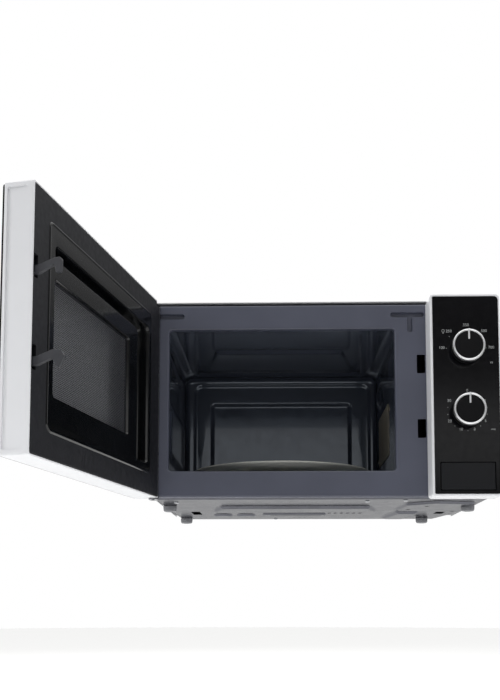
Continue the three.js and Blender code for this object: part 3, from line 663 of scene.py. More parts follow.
FINISHES = {
    "white_paint": enamelled("white_paint", "d9dadb", 0.42, speckle=0.0, flow=0.05, vary=0.015),
    "white_plastic": moulded("white_plastic", "e3e4e7", 0.38, grain=900, depth=0.012, vary=0.012),
    "cavity_enamel": enamelled("cavity_enamel", "3f4450", 0.12, speckle=0.02, flow=0.0015, Coat_Weight=0.5,
                               Coat_Roughness=0.04, Specular_Tint=(0.72, 0.84, 1, 1)),
    "face_enamel": enamelled("face_enamel", "4c4f5d", 0.34, speckle=0.06, flow=0.015),
    "charcoal_plastic": moulded("charcoal_plastic", "14151a", 0.5, grain=1500, depth=0.05, vary=0.1,
                                Specular_IOR_Level=0.3),
    "hook_plastic": moulded("hook_plastic", "323338", 0.45, grain=1100, depth=0.04, vary=0.08),
    "black_glass": moulded("black_glass", "070809", 0.06, grain=60, depth=0.01, spread=0.02,
                           vary=0.2),
    "black_gloss": moulded("black_gloss", "08080b", 0.16, grain=400, depth=0.004, spread=0.03,
                           vary=0.15, Specular_IOR_Level=0.26),
    "button_plastic": moulded("button_plastic", "17181b", 0.3, grain=1300, depth=0.02, spread=0.02,
                              vary=0.04, Specular_IOR_Level=0.25),
    "knob_plastic": moulded("knob_plastic", "0d0d0f", 0.36, grain=1300, depth=0.02, spread=0.02,
                            vary=0.05, Specular_IOR_Level=0.15),
    "satin_silver": turned_metal("satin_silver", "f3f4f5", 0.36, grain=1400),
    "galvanised_steel": rolled_steel("galvanised_steel", "7d7e82", 0.26, contrast=0.08, spread=0.05),
    "spring_steel": turned_metal("spring_steel", "b4b6b9", 0.28, (1, 1, 8)),
    "dark_steel": turned_metal("dark_steel", "3b3c3e", 0.4, (6, 1, 1), 500),
    "copper_winding": winding("copper_winding", "b5672f"),
    "bare_aluminium": turned_metal("bare_aluminium", "c9cbcd", 0.34, (1, 8, 1), 600),
    "clear_glass": clear("clear_glass", "eeeee8", 0.08, clarity=0.5),
    "mica_sheet": layered("mica_sheet", "a39c8c"),
    "natural_plastic": moulded("natural_plastic", "e2decf", 0.45, grain=700, depth=0.02, vary=0.04,
                               Subsurface_Weight=0.1),
    "foot_plastic": moulded("foot_plastic", "737478", 0.4, grain=900, depth=0.04, vary=0.08),
    "bracket_plastic": moulded("bracket_plastic", "08080a", 0.6, grain=1100, depth=0.03, vary=0.1,
                               Specular_IOR_Level=0.2),
    "black_rubber": moulded("black_rubber", "191a1a", 0.7, grain=900, depth=0.06, vary=0.12),
    "circuit_board": circuit("circuit_board", "3d6b3a"),
}
# A darker copy of the galvanised finish, with a darkened tint, for the base pan alone: painted shade for the
# underside of the cabinet, which faces away from the light.
SHADED_BASE_STEEL = rolled_steel("base_steel_painted_shade", "6a6b71", 0.2, contrast=0.07, spread=0.03,
                          Specular_Tint=(0.45, 0.45, 0.46, 1))
PRINT = moulded("legend_print", "a9acac", 0.5, grain=900, depth=0.005, vary=0.03)
SCREEN = moulded("screen_paint", "46474c", 0.45, grain=700, depth=0.01, vary=0.1)
PANE = moulded("lining_pane", "0b0c0e", 0.13, grain=500, depth=0.006, spread=0.03, vary=0.1)
FILM = moulded("window_film", "101212", 0.05, grain=80, depth=0.003, spread=0.02, vary=0.05,
               Alpha=0.12)

for subpart in frame["record"]["subparts"]:
    node = frame["nodes"][subpart["node"]]
    node.data.materials.clear()
    node.data.materials.append(FINISHES[subpart["material_slot"]])


# ---- Camera and light ----


def make_camera():
    """Below the worktop's height and a little left of the middle, looking slightly up."""
    data = bpy.data.cameras.new("camera")
    camera = bpy.data.objects.new("camera", data)
    bpy.context.scene.collection.objects.link(camera)
    camera.location = at(-50.3, -1116.3, -120.0)
    camera.rotation_euler = (math.radians(95), 0, math.radians(1.22))
    data.lens = 45.85
    data.shift_x = -0.0186
    data.shift_y = 0.2466
    data.clip_start = 0.05
    data.clip_end = 50
    bpy.context.scene.camera = camera


# For each soft box: its place and its target in metres, its width and height, and its power.
SOFT_BOXES = {
    "key": ((0.5, -1.7, 1.5), (0.05, 0, 0.12), 1.2, 0.8, 2),
    "low": ((-0.05, -0.9, -0.26), (0.0, 0.25, 0.15), 1.2, 0.1, 0.8),
    "front": ((-0.05, -2.4, 0.52), (0, 0, 0.12), 2.6, 0.32, 2.5),
    "left": ((-1.7, -0.7, 0.9), (0, 0, 0.12), 0.6, 1.2, 11),
    "right": ((1.8, 0.2, 0.8), (0, 0, 0.12), 0.7, 1.2, 6),
    "back": ((-0.5, 1.9, 1.3), (0, 0.1, 0.12), 1.2, 0.7, 12),
}


def soft_box(name, place, target, width, height, power):
    data = bpy.data.lights.new(name, "AREA")
    data.shape = "RECTANGLE"
    data.size = width
    data.size_y = height
    data.energy = power
    lamp = bpy.data.objects.new(name, data)
    bpy.context.scene.collection.objects.link(lamp)
    lamp.location = place
    direction = Vector(target) - Vector(place)
    lamp.rotation_euler = direction.to_track_quat("-Z", "Y").to_euler()


def make_studio():
    """A white backdrop; what lights the oven is bright overhead and dim round the horizon."""
    world = bpy.data.worlds.new("studio")
    bpy.context.scene.world = world
    world.use_nodes = True
    tree = world.node_tree
    direction = tree.nodes.new("ShaderNodeTexCoord").outputs["Generated"]
    parts = tree.nodes.new("ShaderNodeSeparateXYZ")
    tree.links.new(direction, parts.inputs[0])
    height = tree.nodes.new("ShaderNodeMapRange")
    tree.links.new(parts.outputs["Z"], height.inputs["Value"])
    for socket, limit in (("From Min", 0.3), ("From Max", 0.95), ("To Min", 0.14), ("To Max", 1.58)):
        height.inputs[socket].default_value = limit
    surround = tree.nodes["Background"]
    tree.links.new(height.outputs["Result"], surround.inputs["Strength"])
    backdrop = tree.nodes.new("ShaderNodeBackground")
    backdrop.inputs["Strength"].default_value = 1.0
    for background in (surround, backdrop):
        background.inputs["Color"].default_value = (1, 1, 1, 1)
    path = tree.nodes.new("ShaderNodeLightPath")
    choice = tree.nodes.new("ShaderNodeMixShader")
    tree.links.new(path.outputs["Is Camera Ray"], choice.inputs[0])
    tree.links.new(surround.outputs[0], choice.inputs[1])
    tree.links.new(backdrop.outputs[0], choice.inputs[2])
    tree.links.new(choice.outputs[0], tree.nodes["World Output"].inputs["Surface"])
    for name, (place, target, width, height, power) in SOFT_BOXES.items():
        soft_box(name, place, target, width, height, power)
    bpy.context.scene.view_settings.view_transform = "Standard"


def make_floor():
    """A pale sweep below the eye, so that the oven's underside stays in view."""
    shape = Shape()
    reach, front, depth = 6000, -1050, -330
    rim = disc(0, 0, reach, 96)(0)
    shape.faces.append(tuple(shape.ring((x, max(y, front), depth) for x, y in rim)))
    floor = mesh_object("floor", shape)
    floor.data.materials.append(moulded("floor_paper", "fcfcfb", 0.8, grain=300, depth=0.02, vary=0.005))


make_camera()
make_studio()
make_floor()


# ---- Steel face round the mouth ----


def make_face():
    roll = 2.2
    left, right, bottom, top = MOUTH
    mouth = box_outline(left - roll, right + roll, bottom - roll, top + roll, MOUTH_RADIUS + roll)
    groove = box_outline(-216, -175, 240, 247, 3.4)
    tee_corners = [
        (110, 221.5), (117, 221.5), (117, 241), (132, 241), (132, 247.5), (89, 247.5), (89, 241),
        (110, 241),
    ]
    tee = rounded(tee_corners, [3, 3, 1.5, 3, 3, 3, 3, 1.5])
    features = [
        feature(mouth, rolled_lip(roll, 7), floor=False),
        pressed(groove, -4.5, 1.1),
        pressed(tee, -4.5, 1.1),
    ]
    features += [slit(*LATCH_SLOT_X, low, high, 0.8, 2) for low, high in LATCH_SLOTS]
    outline = box_outline(*FACE_X, FACE_Z[0], FACE_Z[1] - 1.2, 4)
    skirt = [(0, -11), (0, -2), (0.3, -1), (1, -0.3), (2, 0)]
    shape = sheet(facing_front(0), outline, features, skirt)
    piece("face_plate", shape, "cabinet", "face_enamel", ["front_frame"], thickness=0.9)


# ---- Cooking space ----


def corner_strip(centre, radius, start, y0, y1, steps=CORNER_STEPS):
    """A quarter-round strip between two walls, along the depth of the cavity."""
    shape = Shape()
    points = []
    for i in range(steps + 1):
        angle = math.radians(start + 90 * i / steps)
        points.append((centre[0] + radius * math.cos(angle), centre[1] + radius * math.sin(angle)))
    front = shape.ring((x, y0, z) for x, z in points)
    back = shape.ring((x, y1, z) for x, z in points)
    shape.bridge(front, back, closed=False)
    return shape


def make_cavity():
    wall = 1.0
    left, right = CAVITY_X[0] + wall, CAVITY_X[1] - wall
    bottom, top = CAVITY_Z[0] + wall, CAVITY_Z[1] - wall
    front, back = CAVITY_Y[0] + 0.5, CAVITY_Y[1] - wall - 2
    corner, fillet = 13, 9
    side_back = back - fillet
    inner = box_outline(left, right, bottom, top, corner)
    skirt = [(fillet, 0)]
    for i in range(CORNER_STEPS, -1, -1):
        angle = math.pi / 2 * i / CORNER_STEPS
        skirt.insert(0, (fillet * (1 - math.cos(angle)), fillet * (1 - math.sin(angle))))
    skirt = sorted({(round(a, 4), round(b, 4)) for a, b in skirt}, key=lambda pair: -pair[1])
    recess = box_outline(-165, 62, 52, 195, 9)
    frame_edge = box_outline(-192, 92, 46, 225, 16)
    back_features = [pressed(frame_edge, -3, 8, [pressed(recess, -4, 9)])]
    shape = sheet(facing_front(back), inner, back_features, skirt)

    step = pressed(rounded([(-146, -132), (-174, -256), (66, -256), (38, -132)], 9), 4, 8)
    roof = pressed(rounded([(-168, -38), (-186, -266), (76, -266), (58, -38)], 14), -5, 9, [step])
    ceiling_edge = square_box(left + corner, right - corner, -side_back, -front)
    shape.add(sheet(facing_down(top), ceiling_edge, [roof]))

    track = TURNTABLE_CENTRE
    ring_floor = pressed(disc(*track, 112, 64), -1.6, 3, [pressed(disc(*track, 80, 48), 1.6, 3)])
    floor_edge = square_box(left + corner, right - corner, front, side_back)
    shape.add(sheet(facing_up(bottom), floor_edge, [ring_floor]))

    pillow = pressed(box_outline(52, 238, 62, 152, 22), 4.5, 18)
    wedge = pressed(rounded([(42, 176), (212, 197), (212, 209), (42, 222)], 4), -3, 6)
    side_edge = square_box(front, side_back, bottom + corner, top - corner)
    shape.add(sheet(facing_right(left), side_edge, [wedge, pillow]))

    vent_y, vent_z = (62, 123), (166, 214)
    vent = hole(square_box(-vent_y[1], -vent_y[0], *vent_z))
    bulge = pressed(box_outline(-246, -196, 166, 210, 20), 5, 16)
    side_edge = square_box(-side_back, -front, bottom + corner, top - corner)
    shape.add(sheet(facing_left(right), side_edge, [vent, bulge]))
    shape.add(perforated(facing_left(right), (-vent_y[1], -vent_y[0]), vent_z, 4.7, 1.55))

    for centre, start in (
        ((right - corner, top - corner), 0), ((left + corner, top - corner), 90),
        ((left + corner, bottom + corner), 180), ((right - corner, bottom + corner), 270),
    ):
        shape.add(corner_strip(centre, corner, start, front, side_back))
    piece("cavity_shell", shape, "cabinet", "cavity_enamel", ["cavity_liner"], thickness=0.6)

    diffuser = plate(facing_right(right), 60, 117, 164, 216, 0.9, 1.4, 2, 0.15)
    piece("lamp_diffuser", diffuser, "cabinet", "natural_plastic")

    (cover_x, cover_y, cover_z) = span("waveguide_cover")
    outline = box_outline(-cover_y[1], -cover_y[0], *cover_z, 6)
    mica = prism(facing_left(cover_x[1]), outline, 0, cover_x[1] - cover_x[0], 0.2)
    for y, z in ((cover_y[0] + 7, cover_z[1] - 7), (cover_y[1] - 7, cover_z[0] + 7)):
        clip = [(3, 0), (3, 0.8), (1.6, 1.6), (0, 1.7)]
        mica.add(turned_body(facing_left(cover_x[0]), clip, 20, (-y, z)))
    piece("mica_cover", mica, "cabinet", "mica_sheet", ["waveguide_cover"])


def make_turntable():
    (glass_x, glass_y, glass_z) = span("turntable_glass")
    radius = (glass_x[1] - glass_x[0]) / 2
    underside = glass_z[1] - 8.1
    rim = glass_z[1]
    profile = [
        (0, underside), (radius - 13, underside), (radius - 8, underside + 1.2),
        (radius - 2.4, rim - 3.6), (radius - 0.4, rim - 2.4), (radius, rim - 1.2),
        (radius - 0.5, rim - 0.3), (radius - 1.6, rim),
        (radius - 2.8, rim - 0.4), (radius - 4, rim - 1.6), (radius - 9.5, underside + 4.6),
        (radius - 13.5, underside + 3.6), (radius - 24, underside + 3.4), (radius - 26, underside + 3.9),
        (radius - 28, underside + 3.4), (52, underside + 3.4), (50, underside + 3.9),
        (48, underside + 3.4), (0, underside + 3.4),
    ]
    shape = turned_body(facing_up(0), profile, 96, TURNTABLE_CENTRE)
    for i in range(3):
        angle = (2 * i + 1) * math.pi / 3
        lug = (TURNTABLE_CENTRE[0] + 20 * math.cos(angle), TURNTABLE_CENTRE[1] + 20 * math.sin(angle))
        shape.add(turned_body(
            facing_up(0), [(3, underside - 3), (4, underside - 2.4), (4.4, underside - 0.05)], 20, lug))
    piece("glass_plate", shape, "turntable", "clear_glass", ["turntable_glass"], sharp=50)


make_face()
make_cavity()
make_turntable()


# ---- Cabinet cover, rear panel and base ----


def make_cover():
    bend = 7
    left, right = COVER_X
    front, back = COVER_Y
    bottom, top = COVER_Z
    shape = Shape()
    top_edge = square_box(left + bend, right - bend, front, back)
    shape.add(sheet(facing_up(top), top_edge))
    vents = [slit(y, y + 3, 50, 80, 1.45) for y in range(180, 270, 9)]
    side_edge = square_box(front, back, bottom, top - bend)
    shape.add(sheet(facing_right(right), side_edge, vents))
    side_edge = square_box(-back, -front, bottom, top - bend)
    shape.add(sheet(facing_left(left), side_edge))
    for x, start in ((right - bend, 0), (left + bend, 90)):
        strip = corner_strip((x, top - bend), bend, start, front, back)
        strip.faces = [tuple(reversed(face)) for face in strip.faces]
        shape.add(strip)
    piece("outer_cover", shape, "cabinet", "white_paint", ["cabinet_cover"], thickness=0.9)


def make_rear():
    (x, y, z) = span("rear_panel")
    gland_x, _, gland_z = [sum(limits) / 2 for limits in span("cord_inlet_grommet")]
    outline = box_outline(-x[1], -x[0], *z, 9)
    inlets = [slit(-194, -132, low, low + 3) for low in range(160, 223, 7)]
    outlets = [slit(150, 190, low, low + 3) for low in range(205, 240, 7)]
    bulge = pressed(box_outline(-100, 130, 48, 236, 14), -1.2, 5)
    cord_hole = round_hole(-gland_x, gland_z, 6.5, 24)
    shape = sheet(facing_back(y[1]), outline, [*inlets, *outlets, bulge, cord_hole])
    piece("rear_sheet", shape, "cabinet", "galvanised_steel", ["rear_panel"], thickness=0.9)
    screws = Shape()
    for u in (-205, -110, 0, 110, 205):
        screws.add(screw_head(facing_back(y[1]), u, z[1] - 7))
    for u, v in ((-208, 110), (208, 110), (-208, 30), (208, 30)):
        screws.add(screw_head(facing_back(y[1]), u, v))
    piece("rear_screws", screws, "cabinet", "spring_steel")


def make_base():
    (x, y, z) = span("base_plate")
    level = z[1] - 1.0
    drop = level - z[0]
    outline = box_outline(*x, -y[1], -y[0], 2)
    pan = rounded(
        [(-213, -291), (191, -291), (208, -200), (216, -100), (216, -4), (-217, -4)], 10)
    feet = [round_hole(sum(fx) / 2, -sum(fy) / 2, 3.4, 20) for fx, fy, _ in map(span, FEET)]
    slots = [slit(left, left + 9, -162, -159) for left in range(-67, 0, 12)]
    rear_holes = [round_hole(left, -263, 1.7, 12) for left in range(-39, -6, 8)]
    vents = [
        round_hole(left, -183 - 12 * row, 2.6, 14) for left in range(19, 66, 9) for row in range(2)
    ]
    band = pressed(rounded([(-152, -150), (88, -150), (70, -88), (-134, -88)], 12), 3.6, 6)
    slot_hole = slit(-68, 8, -203, -199, 1.9)
    long_slot = pressed(box_outline(-80, 16, -214, -188, 9), 2.4, 4, [slot_hole])
    dimples = [pressed(disc(u, -215, 16, 32), 2.4, 5) for u in (-138, -104)]
    square = slit(-182, -169, -209, -165, 1.0, 2)
    field_holes = [round_hole(124, -112, 3.2), round_hole(143, -70, 3.2)]
    field_edge = rounded([(104, -138), (203, -138), (206, -44), (150, -30), (112, -58)], 12)
    right_field = pressed(field_edge, 2.8, 7, field_holes)
    right_rib = pressed(rounded([(98, -258), (140, -258), (150, -160), (112, -160)], 10), 3.6, 9)
    right_holes = [
        slit(173, 186, -201, -172, 1.5, 2),
        round_hole(193.5, -163, 3.6),
        round_hole(152, -222, 4.5, 20),
    ]
    features = [
        *feet, *slots, *rear_holes, *vents, band, long_slot, *dimples, square, right_field, right_rib,
        *right_holes,
    ]
    shape = sheet(facing_down(level), outline, [pressed(pan, drop, 7, features)])
    # The base pan takes the darker copy of the galvanised finish: painted shade under the cabinet.
    piece("base_pan", shape, "cabinet", "galvanised_steel", ["base_plate"], thickness=0.8,
          finish=SHADED_BASE_STEEL)
    screws = Shape()
    for u, v in ((108, -20), (-188, -40), (60, -30), (-60, -275), (196, -120)):
        screws.add(screw_head(facing_down(z[0]), u, v, 3.2, 1.5))
    piece("base_screws", screws, "cabinet", "spring_steel")


def make_feet():
    for name in FEET:
        (x, y, z) = span(name)
        radius = (x[1] - x[0]) / 2
        top = z[0] + 7.6
        profile = [
            (0, z[0] + 0.5), (radius * 0.45, z[0] + 0.5), (radius * 0.5, z[0]), (radius * 0.74, z[0]),
            (radius * 0.86, z[0] + 0.5), (radius * 0.95, z[0] + 1.8), (radius, top - 1),
            (radius * 0.97, top),
            (3, top), (3, top + 1.6), (4.4, top + 2), (3.2, z[1]), (0, z[1]),
        ]
        shape = turned_body(facing_up(0), profile, 40, (sum(x) / 2, sum(y) / 2))
        piece(f"{name}_pad", shape, "cabinet", "foot_plastic", [name])


make_cover()
make_rear()
make_base()
make_feet()


# ---- Control panel ----


def make_panel():
    left, right, bottom, top = *PANEL_X, *PANEL_Z
    front, back = PANEL_Y
    gap = 0.35
    glass_edges = (*PLATE_X, PLATE_Z[0], PLATE_Z[1] + 2)
    margins = grown(glass_edges, gap)
    outer_radii, face_radii = [4, 5, 5.5, 4], [1.6, 4, 5, 1.6]
    body = box_outline(left, right, bottom, top, outer_radii)
    fillet = 2.0
    rings = [(body, 0.0, back), (body, 0.0, front + fillet)]
    for i in range(1, 5):
        angle = math.pi / 2 * i / 4
        depth = front + fillet * (1 - math.sin(angle))
        rings.append((body, fillet * (1 - math.cos(angle)) * 0.8, depth))
    seat = box_outline(*margins, face_radii)
    rings += [(seat, 0.0, front), (seat, 0.15, front + 0.3), (seat, 0.15, front + 2.2)]
    shape = loft([[(u, y, v) for u, v in outline(inset)] for outline, inset, y in rings])
    cap_edges = (BUTTON_X[0], BUTTON_X[1] - 2, BUTTON_Z[0], BUTTON_Z[1] - 1)
    well = 17.5  # deep enough for the button at the end of its travel
    stem_edges = (153, 157, 38, 42)
    stem_hole = (151.5, 158.5, 36.5, 43.5)
    place = facing_front(front)
    piece("panel_body", shape, "cabinet", "white_plastic", ["control_panel_housing"], cutters=[
        plate(place, *grown(cap_edges, 1.4), -well - 0.6, 2, 0.6, 0.05),
        plate(place, *stem_hole, back - front - 80, -well, 0.6, 0.05),
    ])

    stem_opening = slit(*stem_hole, 0.5, 2)
    button_well = feature(
        box_outline(*grown(cap_edges, 1.1), 1.2, 3), [(0.15, -0.2), (0.15, -well)], [stem_opening])
    glass = sheet(
        facing_front(front - 0.2), box_outline(*glass_edges, face_radii), [button_well],
        [(0, -1.9), (0, -0.4), (0.12, -0.12), (0.4, 0)])
    piece("panel_glass", glass, "cabinet", "black_gloss", ["control_panel_face"])

    place = facing_front(BUTTON_Y[0])
    cap = prism(place, box_outline(*cap_edges, 1.2, 4), -11, 0, 0.3, 3)
    stem = plate(place, *stem_edges, BUTTON_Y[0] - BUTTON_Y[1], -10.5, 0.6, 0.3)
    button = together(cap, stem)
    piece("door_button", button, "release_button", "button_plastic", ["door_release_button"])


def knob_shapes(node):
    """The knob's black body, and the silver ring with its pointer."""
    (x, y, z) = span(node)
    centre = (sum(x) / 2, sum(z) / 2)
    (ring_x, ring_y, _) = span(f"{node}_ring")
    outer = (ring_x[1] - ring_x[0]) / 2
    front = -ring_y[0]
    back = -y[1]
    face = 17.0
    body = turned_body(facing_front(0), [
        (outer - 0.6, back), (outer - 0.6, front - 6.4), (face - 0.4, front - 6.2),
        (face - 0.4, front - 1.5), (face - 0.9, front - 1.0), (face - 3, front - 0.8), (0, front - 0.6),
    ], 72, centre)
    ring = turned_body(facing_front(0), [
        (outer - 0.4, front - 6.1), (outer, front - 5.7), (outer, front - 1.3),
        (outer - 0.35, front - 0.5), (outer - 1.2, front - 0.05), (face + 1.1, front - 0.05),
        (face + 0.35, front - 0.4),
        (face, front - 1.2), (face, front - 6.1),
    ], 72, centre)
    ring.faces = ring.faces[:-2]
    count = 72
    first = list(range(count))
    last = list(range(len(ring.verts) - count, len(ring.verts)))
    ring.bridge(last, first)
    pointer = plate(
        facing_front(0), centre[0] - 1.1, centre[0] + 1.1, centre[1] + 6.8, centre[1] + outer + 0.4,
        front - 1.4, front + 0.0, 0.9, 0.25)
    return body, together(ring, pointer)


def make_knobs():
    for node, body_name in (("timer_knob", "timer_knob"), ("power_knob", "power_knob")):
        body, ring = knob_shapes(node)
        piece(f"{node}_grip", body, body_name, "knob_plastic", [node])
        piece(f"{node}_trim", ring, body_name, "satin_silver", [f"{node}_ring"])


PRINT_LEVEL = PLATE_Y[0] - 0.05


def lettering(text, x, z, size):
    """Flat printed characters, centred on a point of the panel."""
    data = bpy.data.curves.new("print", "FONT")
    data.body = text
    data.size = size
    data.align_x = "CENTER"
    data.align_y = "CENTER"
    data.resolution_u = 3
    text_object = bpy.data.objects.new("print", data)
    bpy.context.scene.collection.objects.link(text_object)
    bpy.context.view_layer.update()
    evaluated = text_object.evaluated_get(bpy.context.evaluated_depsgraph_get())
    mesh = bpy.data.meshes.new_from_object(evaluated)
    shape = Shape()
    shape.verts = [(x + vert.co.x, PRINT_LEVEL, z + vert.co.y) for vert in mesh.vertices]
    shape.faces = [tuple(face.vertices) for face in mesh.polygons]
    bpy.data.objects.remove(text_object)
    bpy.data.meshes.remove(mesh)
    return shape


def dial_mark(centre, radius, angle, length=1.6, width=0.5):
    """A short printed line that points at the knob."""
    direction = Vector((math.sin(angle), math.cos(angle)))
    side = Vector((direction.y, -direction.x)) * width / 2
    start = Vector(centre) + direction * radius
    end = start + direction * length
    corners = [start - side, start + side, end + side, end - side]
    shape = Shape()
    shape.faces.append(tuple(shape.ring((corner.x, PRINT_LEVEL, corner.y) for corner in corners)))
    return shape


def drop_mark(x, z, size=1.9):
    """A small ring over a foot, the mark of the thawing setting."""
    shape = Shape()
    rim = disc(x, z, size, 20)
    outer, inner = (shape.ring((u, PRINT_LEVEL, v) for u, v in rim(inset)) for inset in (0, 0.45))
    shape.bridge(outer, inner)
    left, right, bottom, top = x - 0.8, x + 0.8, z - size - 1.3, z - size - 0.6
    foot = [(left, bottom), (right, bottom), (right, top), (left, top)]
    shape.faces.append(tuple(shape.ring((u, PRINT_LEVEL, v) for u, v in foot)))
    return shape


# Each legend stands at an angle from the top of its dial, in degrees, and a radius.
POWER_LEGENDS = [
    ("350", 0, 27.4), ("500", 48, 29.7), ("700", 92, 30.6), ("100", -92, 30.2), ("250", -47, 29),
]
TIMER_LEGENDS = [
    ("0", 0, 25.4), ("2", 60, 25), ("5", 120, 25), ("8", 160, 24.4), ("10", 200, 24.4),
    ("20", 240, 25.4), ("30", 300, 25.6),
]
# For each dial: its legends, its tick angles, the unit with its place, and the rise of them all.
DIALS = {
    "power_knob": (POWER_LEGENDS, (-94, -58, 94), ("W", 30.6, -20.3), 2.2),
    "timer_knob": (TIMER_LEGENDS, (20, 40, 80, 100, 140, 180, 220, 260, 280), ("min", 31, -22.8), 0.7),
}


def make_legends():
    shape = Shape()
    size, unit_size = 5.0, 3.7
    for node, (legends, ticks, (unit, unit_x, unit_z), rise) in DIALS.items():
        (x, _, z) = span(node)
        centre = (sum(x) / 2, sum(z) / 2 + rise)
        for text, degrees, radius in legends:
            angle = math.radians(degrees)
            shape.add(lettering(
                text, centre[0] + radius * math.sin(angle), centre[1] + radius * math.cos(angle), size))
        shape.add(lettering(unit, centre[0] + unit_x, centre[1] + unit_z, unit_size))
        for degrees in ticks:
            shape.add(dial_mark(centre, 24, math.radians(degrees), 1.1))
        if node == "power_knob":
            shape.add(drop_mark(centre[0] - 28.2, centre[1] + 20.2))
    piece("panel_legends", shape, "cabinet", "satin_silver", finish=PRINT)


make_panel()
make_knobs()
make_legends()


# ---- Door ----


def make_door_frame():
    left, right, bottom, top = DOOR_SIDES
    front = DOOR_FRONT + 1.9
    rim, seat = 1.5, -4.6
    # Each ring: its depth, then its insets at top and bottom, at the hinge side and at the free side.
    steps = [
        (front, 0.6, 0.6, 0.6), (front + 0.5, 0.1, 0.1, 0.1), (front + 1, 0, 0, 0), (-5.0, 0, 0, 0),
        (-3.0, 0, 2.2, 0), (-2.3, 0.2, 3, 0.2), (DOOR_BACK, 0.8, 3.6, 0.8), (DOOR_BACK, rim, 4, rim),
        (seat, rim, 4, rim),
    ]
    rings = []
    for y, inset, hinge_side, free_side in steps:
        edges = (left + hinge_side, right - free_side, bottom + inset, top - inset)
        rings.append([(u, y, v) for u, v in box_outline(*edges, 2.2, 4)(0)])
    shape = loft(rings)
    side_field = plate(facing_right(right), front + 3, -8.6, bottom + 5, top - 5, -1.4, 1, 2.5, 0.05)
    notch = plate(facing_up(0), left - 1, -204.5, -17, 1, 253.9, top + 1, 0.4, 0.05)
    slots = [
        plate(facing_up(0), 120.2, 129.4, -21, 1, low - 0.6, high + 0.6, 0.5, 0.05)
        for low, high in HOOK_SLOTS
    ]
    pin_hole = turned_body(facing_up(0), [(2.5, bottom - 1), (2.5, 22)], 20, HINGE_PIN)
    basin = plate(facing_up(0), -176, 96, -24, 1, 40, 230, 6, 0.05)
    piece("door_shell", shape, "door", "white_plastic", ["door_frame"], door=True,
          cutters=[side_field, notch, *slots, pin_hole, basin])


def make_door_glass():
    outline = box_outline(DOOR_SIDES[0] + 0.5, DOOR_SIDES[1] - 0.4, 8.4, 259.6, 4)
    shape = prism(facing_front(DOOR_FRONT), outline, -1.7, 0, 0.5, 3)
    piece("door_front_glass", shape, "door", "black_glass", ["door_outer_glass"], door=True)


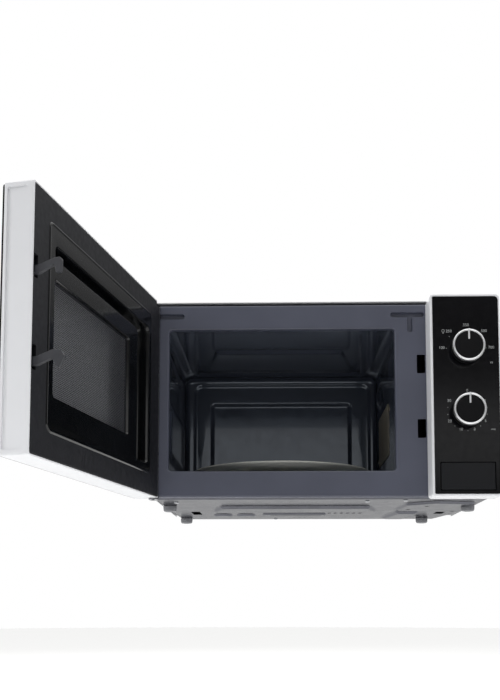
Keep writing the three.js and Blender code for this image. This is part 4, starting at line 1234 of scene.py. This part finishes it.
def make_door_lining():
    rim = 1.8
    left, right, bottom, top = DOOR_SIDES
    edge = rounded([
        (-(right - rim), bottom + 2.2), (217, bottom + 2.2), (217, 253.6), (204.2, 253.6),
        (204.2, top - 1.8), (-(right - rim), top - 1.8),
    ], 1.0, 3)
    bead_left, bead_right, bead_bottom, bead_top = BEAD
    bead = box_outline(-bead_right, -bead_left, bead_bottom, bead_top, [10, 7, 7, 7], 8)
    channel = rounded([
        (-88, 201), (133, 201), (133, 45), (174, 45), (174, 216), (-88, 216),
    ], [6, 5, 6, 7, 8, 6], 5)
    trough = [(0.4, -0.15), (1, -0.8), (1.8, -3), (2.4, -8), (3.2, -12.5), (4.6, -14.4), (6, -15)]
    window = (-88, 108, 69, 183)
    pane = feature(box_outline(*window, 4, 4), [(0.6, -0.5), (1.2, -2.2), (1.4, -3.0)], floor=False)
    plate_features = [
        feature(channel, trough),
        pane,
    ]
    rise = [(0.5, 0.5), (1.2, 1.1), (2.0, 1.3), (2.8, 1.15), (3.6, 0.9)]
    pocket = [(0.15, -0.3), (0.15, -17.4)]
    slots = [feature(box_outline(-128.8, -120.8, low, high, 0.8, 2), pocket) for low, high in HOOK_SLOTS]
    place = facing_back(DOOR_BACK)
    matte = sheet(place, edge, [feature(bead, [], floor=False), *slots],
                  [(0, -2.2), (0, -0.6), (0.25, -0.15), (0.7, 0)])
    piece("door_lining_sheet", matte, "door", "charcoal_plastic", ["door_inner_lining"], door=True)

    gloss = sheet(place, bead, plate_features, [(0, 0), *rise])
    piece("door_lining_pane", gloss, "door", "charcoal_plastic", door=True, finish=PANE)

    level = -3.4
    mesh_x, mesh_z = (-85.7, 105), (71, 180)
    border = sheet(place, box_outline(*grown(window, 3), 3, 3),
                   [hole(square_box(*mesh_x, *mesh_z))])
    border.verts = [(x, y + level, z) for x, y, z in border.verts]
    field = perforated(place, mesh_x, mesh_z, 2.1, 0.72, level)
    piece("door_mesh", together(border, field), "door", "dark_steel", ["door_screen"], door=True,
          finish=SCREEN)

    film_edge = box_outline(*grown(window, 1), 3, 3)
    film = prism(place, film_edge, level + 0.5, level + 0.8, 0.1, 1)
    piece("door_film", film, "door", "clear_glass", ["door_inner_window"], door=True, finish=FILM)


UPPER_HOOK = [
    (-17, 173), (1.8, 173.2), (11, 177.8), (16.5, 180.2), (17.6, 178), (18.5, 172.8),
    (23.5, 173.4), (24, 184.5), (22, 187), (17, 186.6), (1.8, 181.5), (-17, 180),
]
LOWER_HOOK = [
    (-17, 89), (1.8, 89), (11, 92.6), (16.5, 94.5), (18, 92.8), (19.5, 87.8),
    (23.5, 85.9), (28.5, 96.4), (24.8, 102), (17, 102.7), (1.8, 97.3), (-17, 97),
]


def make_hooks():
    place = facing_right(HOOK_X[0])
    width = HOOK_X[1] - HOOK_X[0]
    hooks = together(*[
        prism(place, rounded(points, 0.9, 3), 0, width, 0.5, 3) for points in (UPPER_HOOK, LOWER_HOOK)])
    piece("latch_hooks", hooks, "door_latch", "hook_plastic", ["door_latch_hooks"], door=True)


# For each hinge bracket: its slot, and the heights of its arm, its tab and its pin.
HINGES = {
    "lower_hinge_bracket": ("galvanised_steel", (6.1, 7.7), (6.1, 32), (5.2, 20)),
    "upper_hinge_bracket": ("dark_steel", (254.6, 256.2), (232, 256.2), (244, 256.9)),
}


def make_hinges():
    for node, (slot, arm, tab, (pin_bottom, pin_top)) in HINGES.items():
        shape = plate(facing_up(0), -217.2, -206, -13.4, 3.4, *arm, 3.2, 0.3)
        shape.add(plate(facing_front(3.4), -217.2, -206, *tab, 0, 1.9, 1.5, 0.3))
        profile = [(1.4, pin_bottom), (2, pin_bottom + 0.5), (2, pin_top - 0.5), (1.4, pin_top)]
        shape.add(turned_body(facing_up(0), profile, 24, HINGE_PIN))
        piece(f"{node}_plate", shape, "cabinet", slot, [node])


make_door_frame()
make_door_glass()
make_door_lining()
make_hooks()
make_hinges()

bpy.context.view_layer.update()
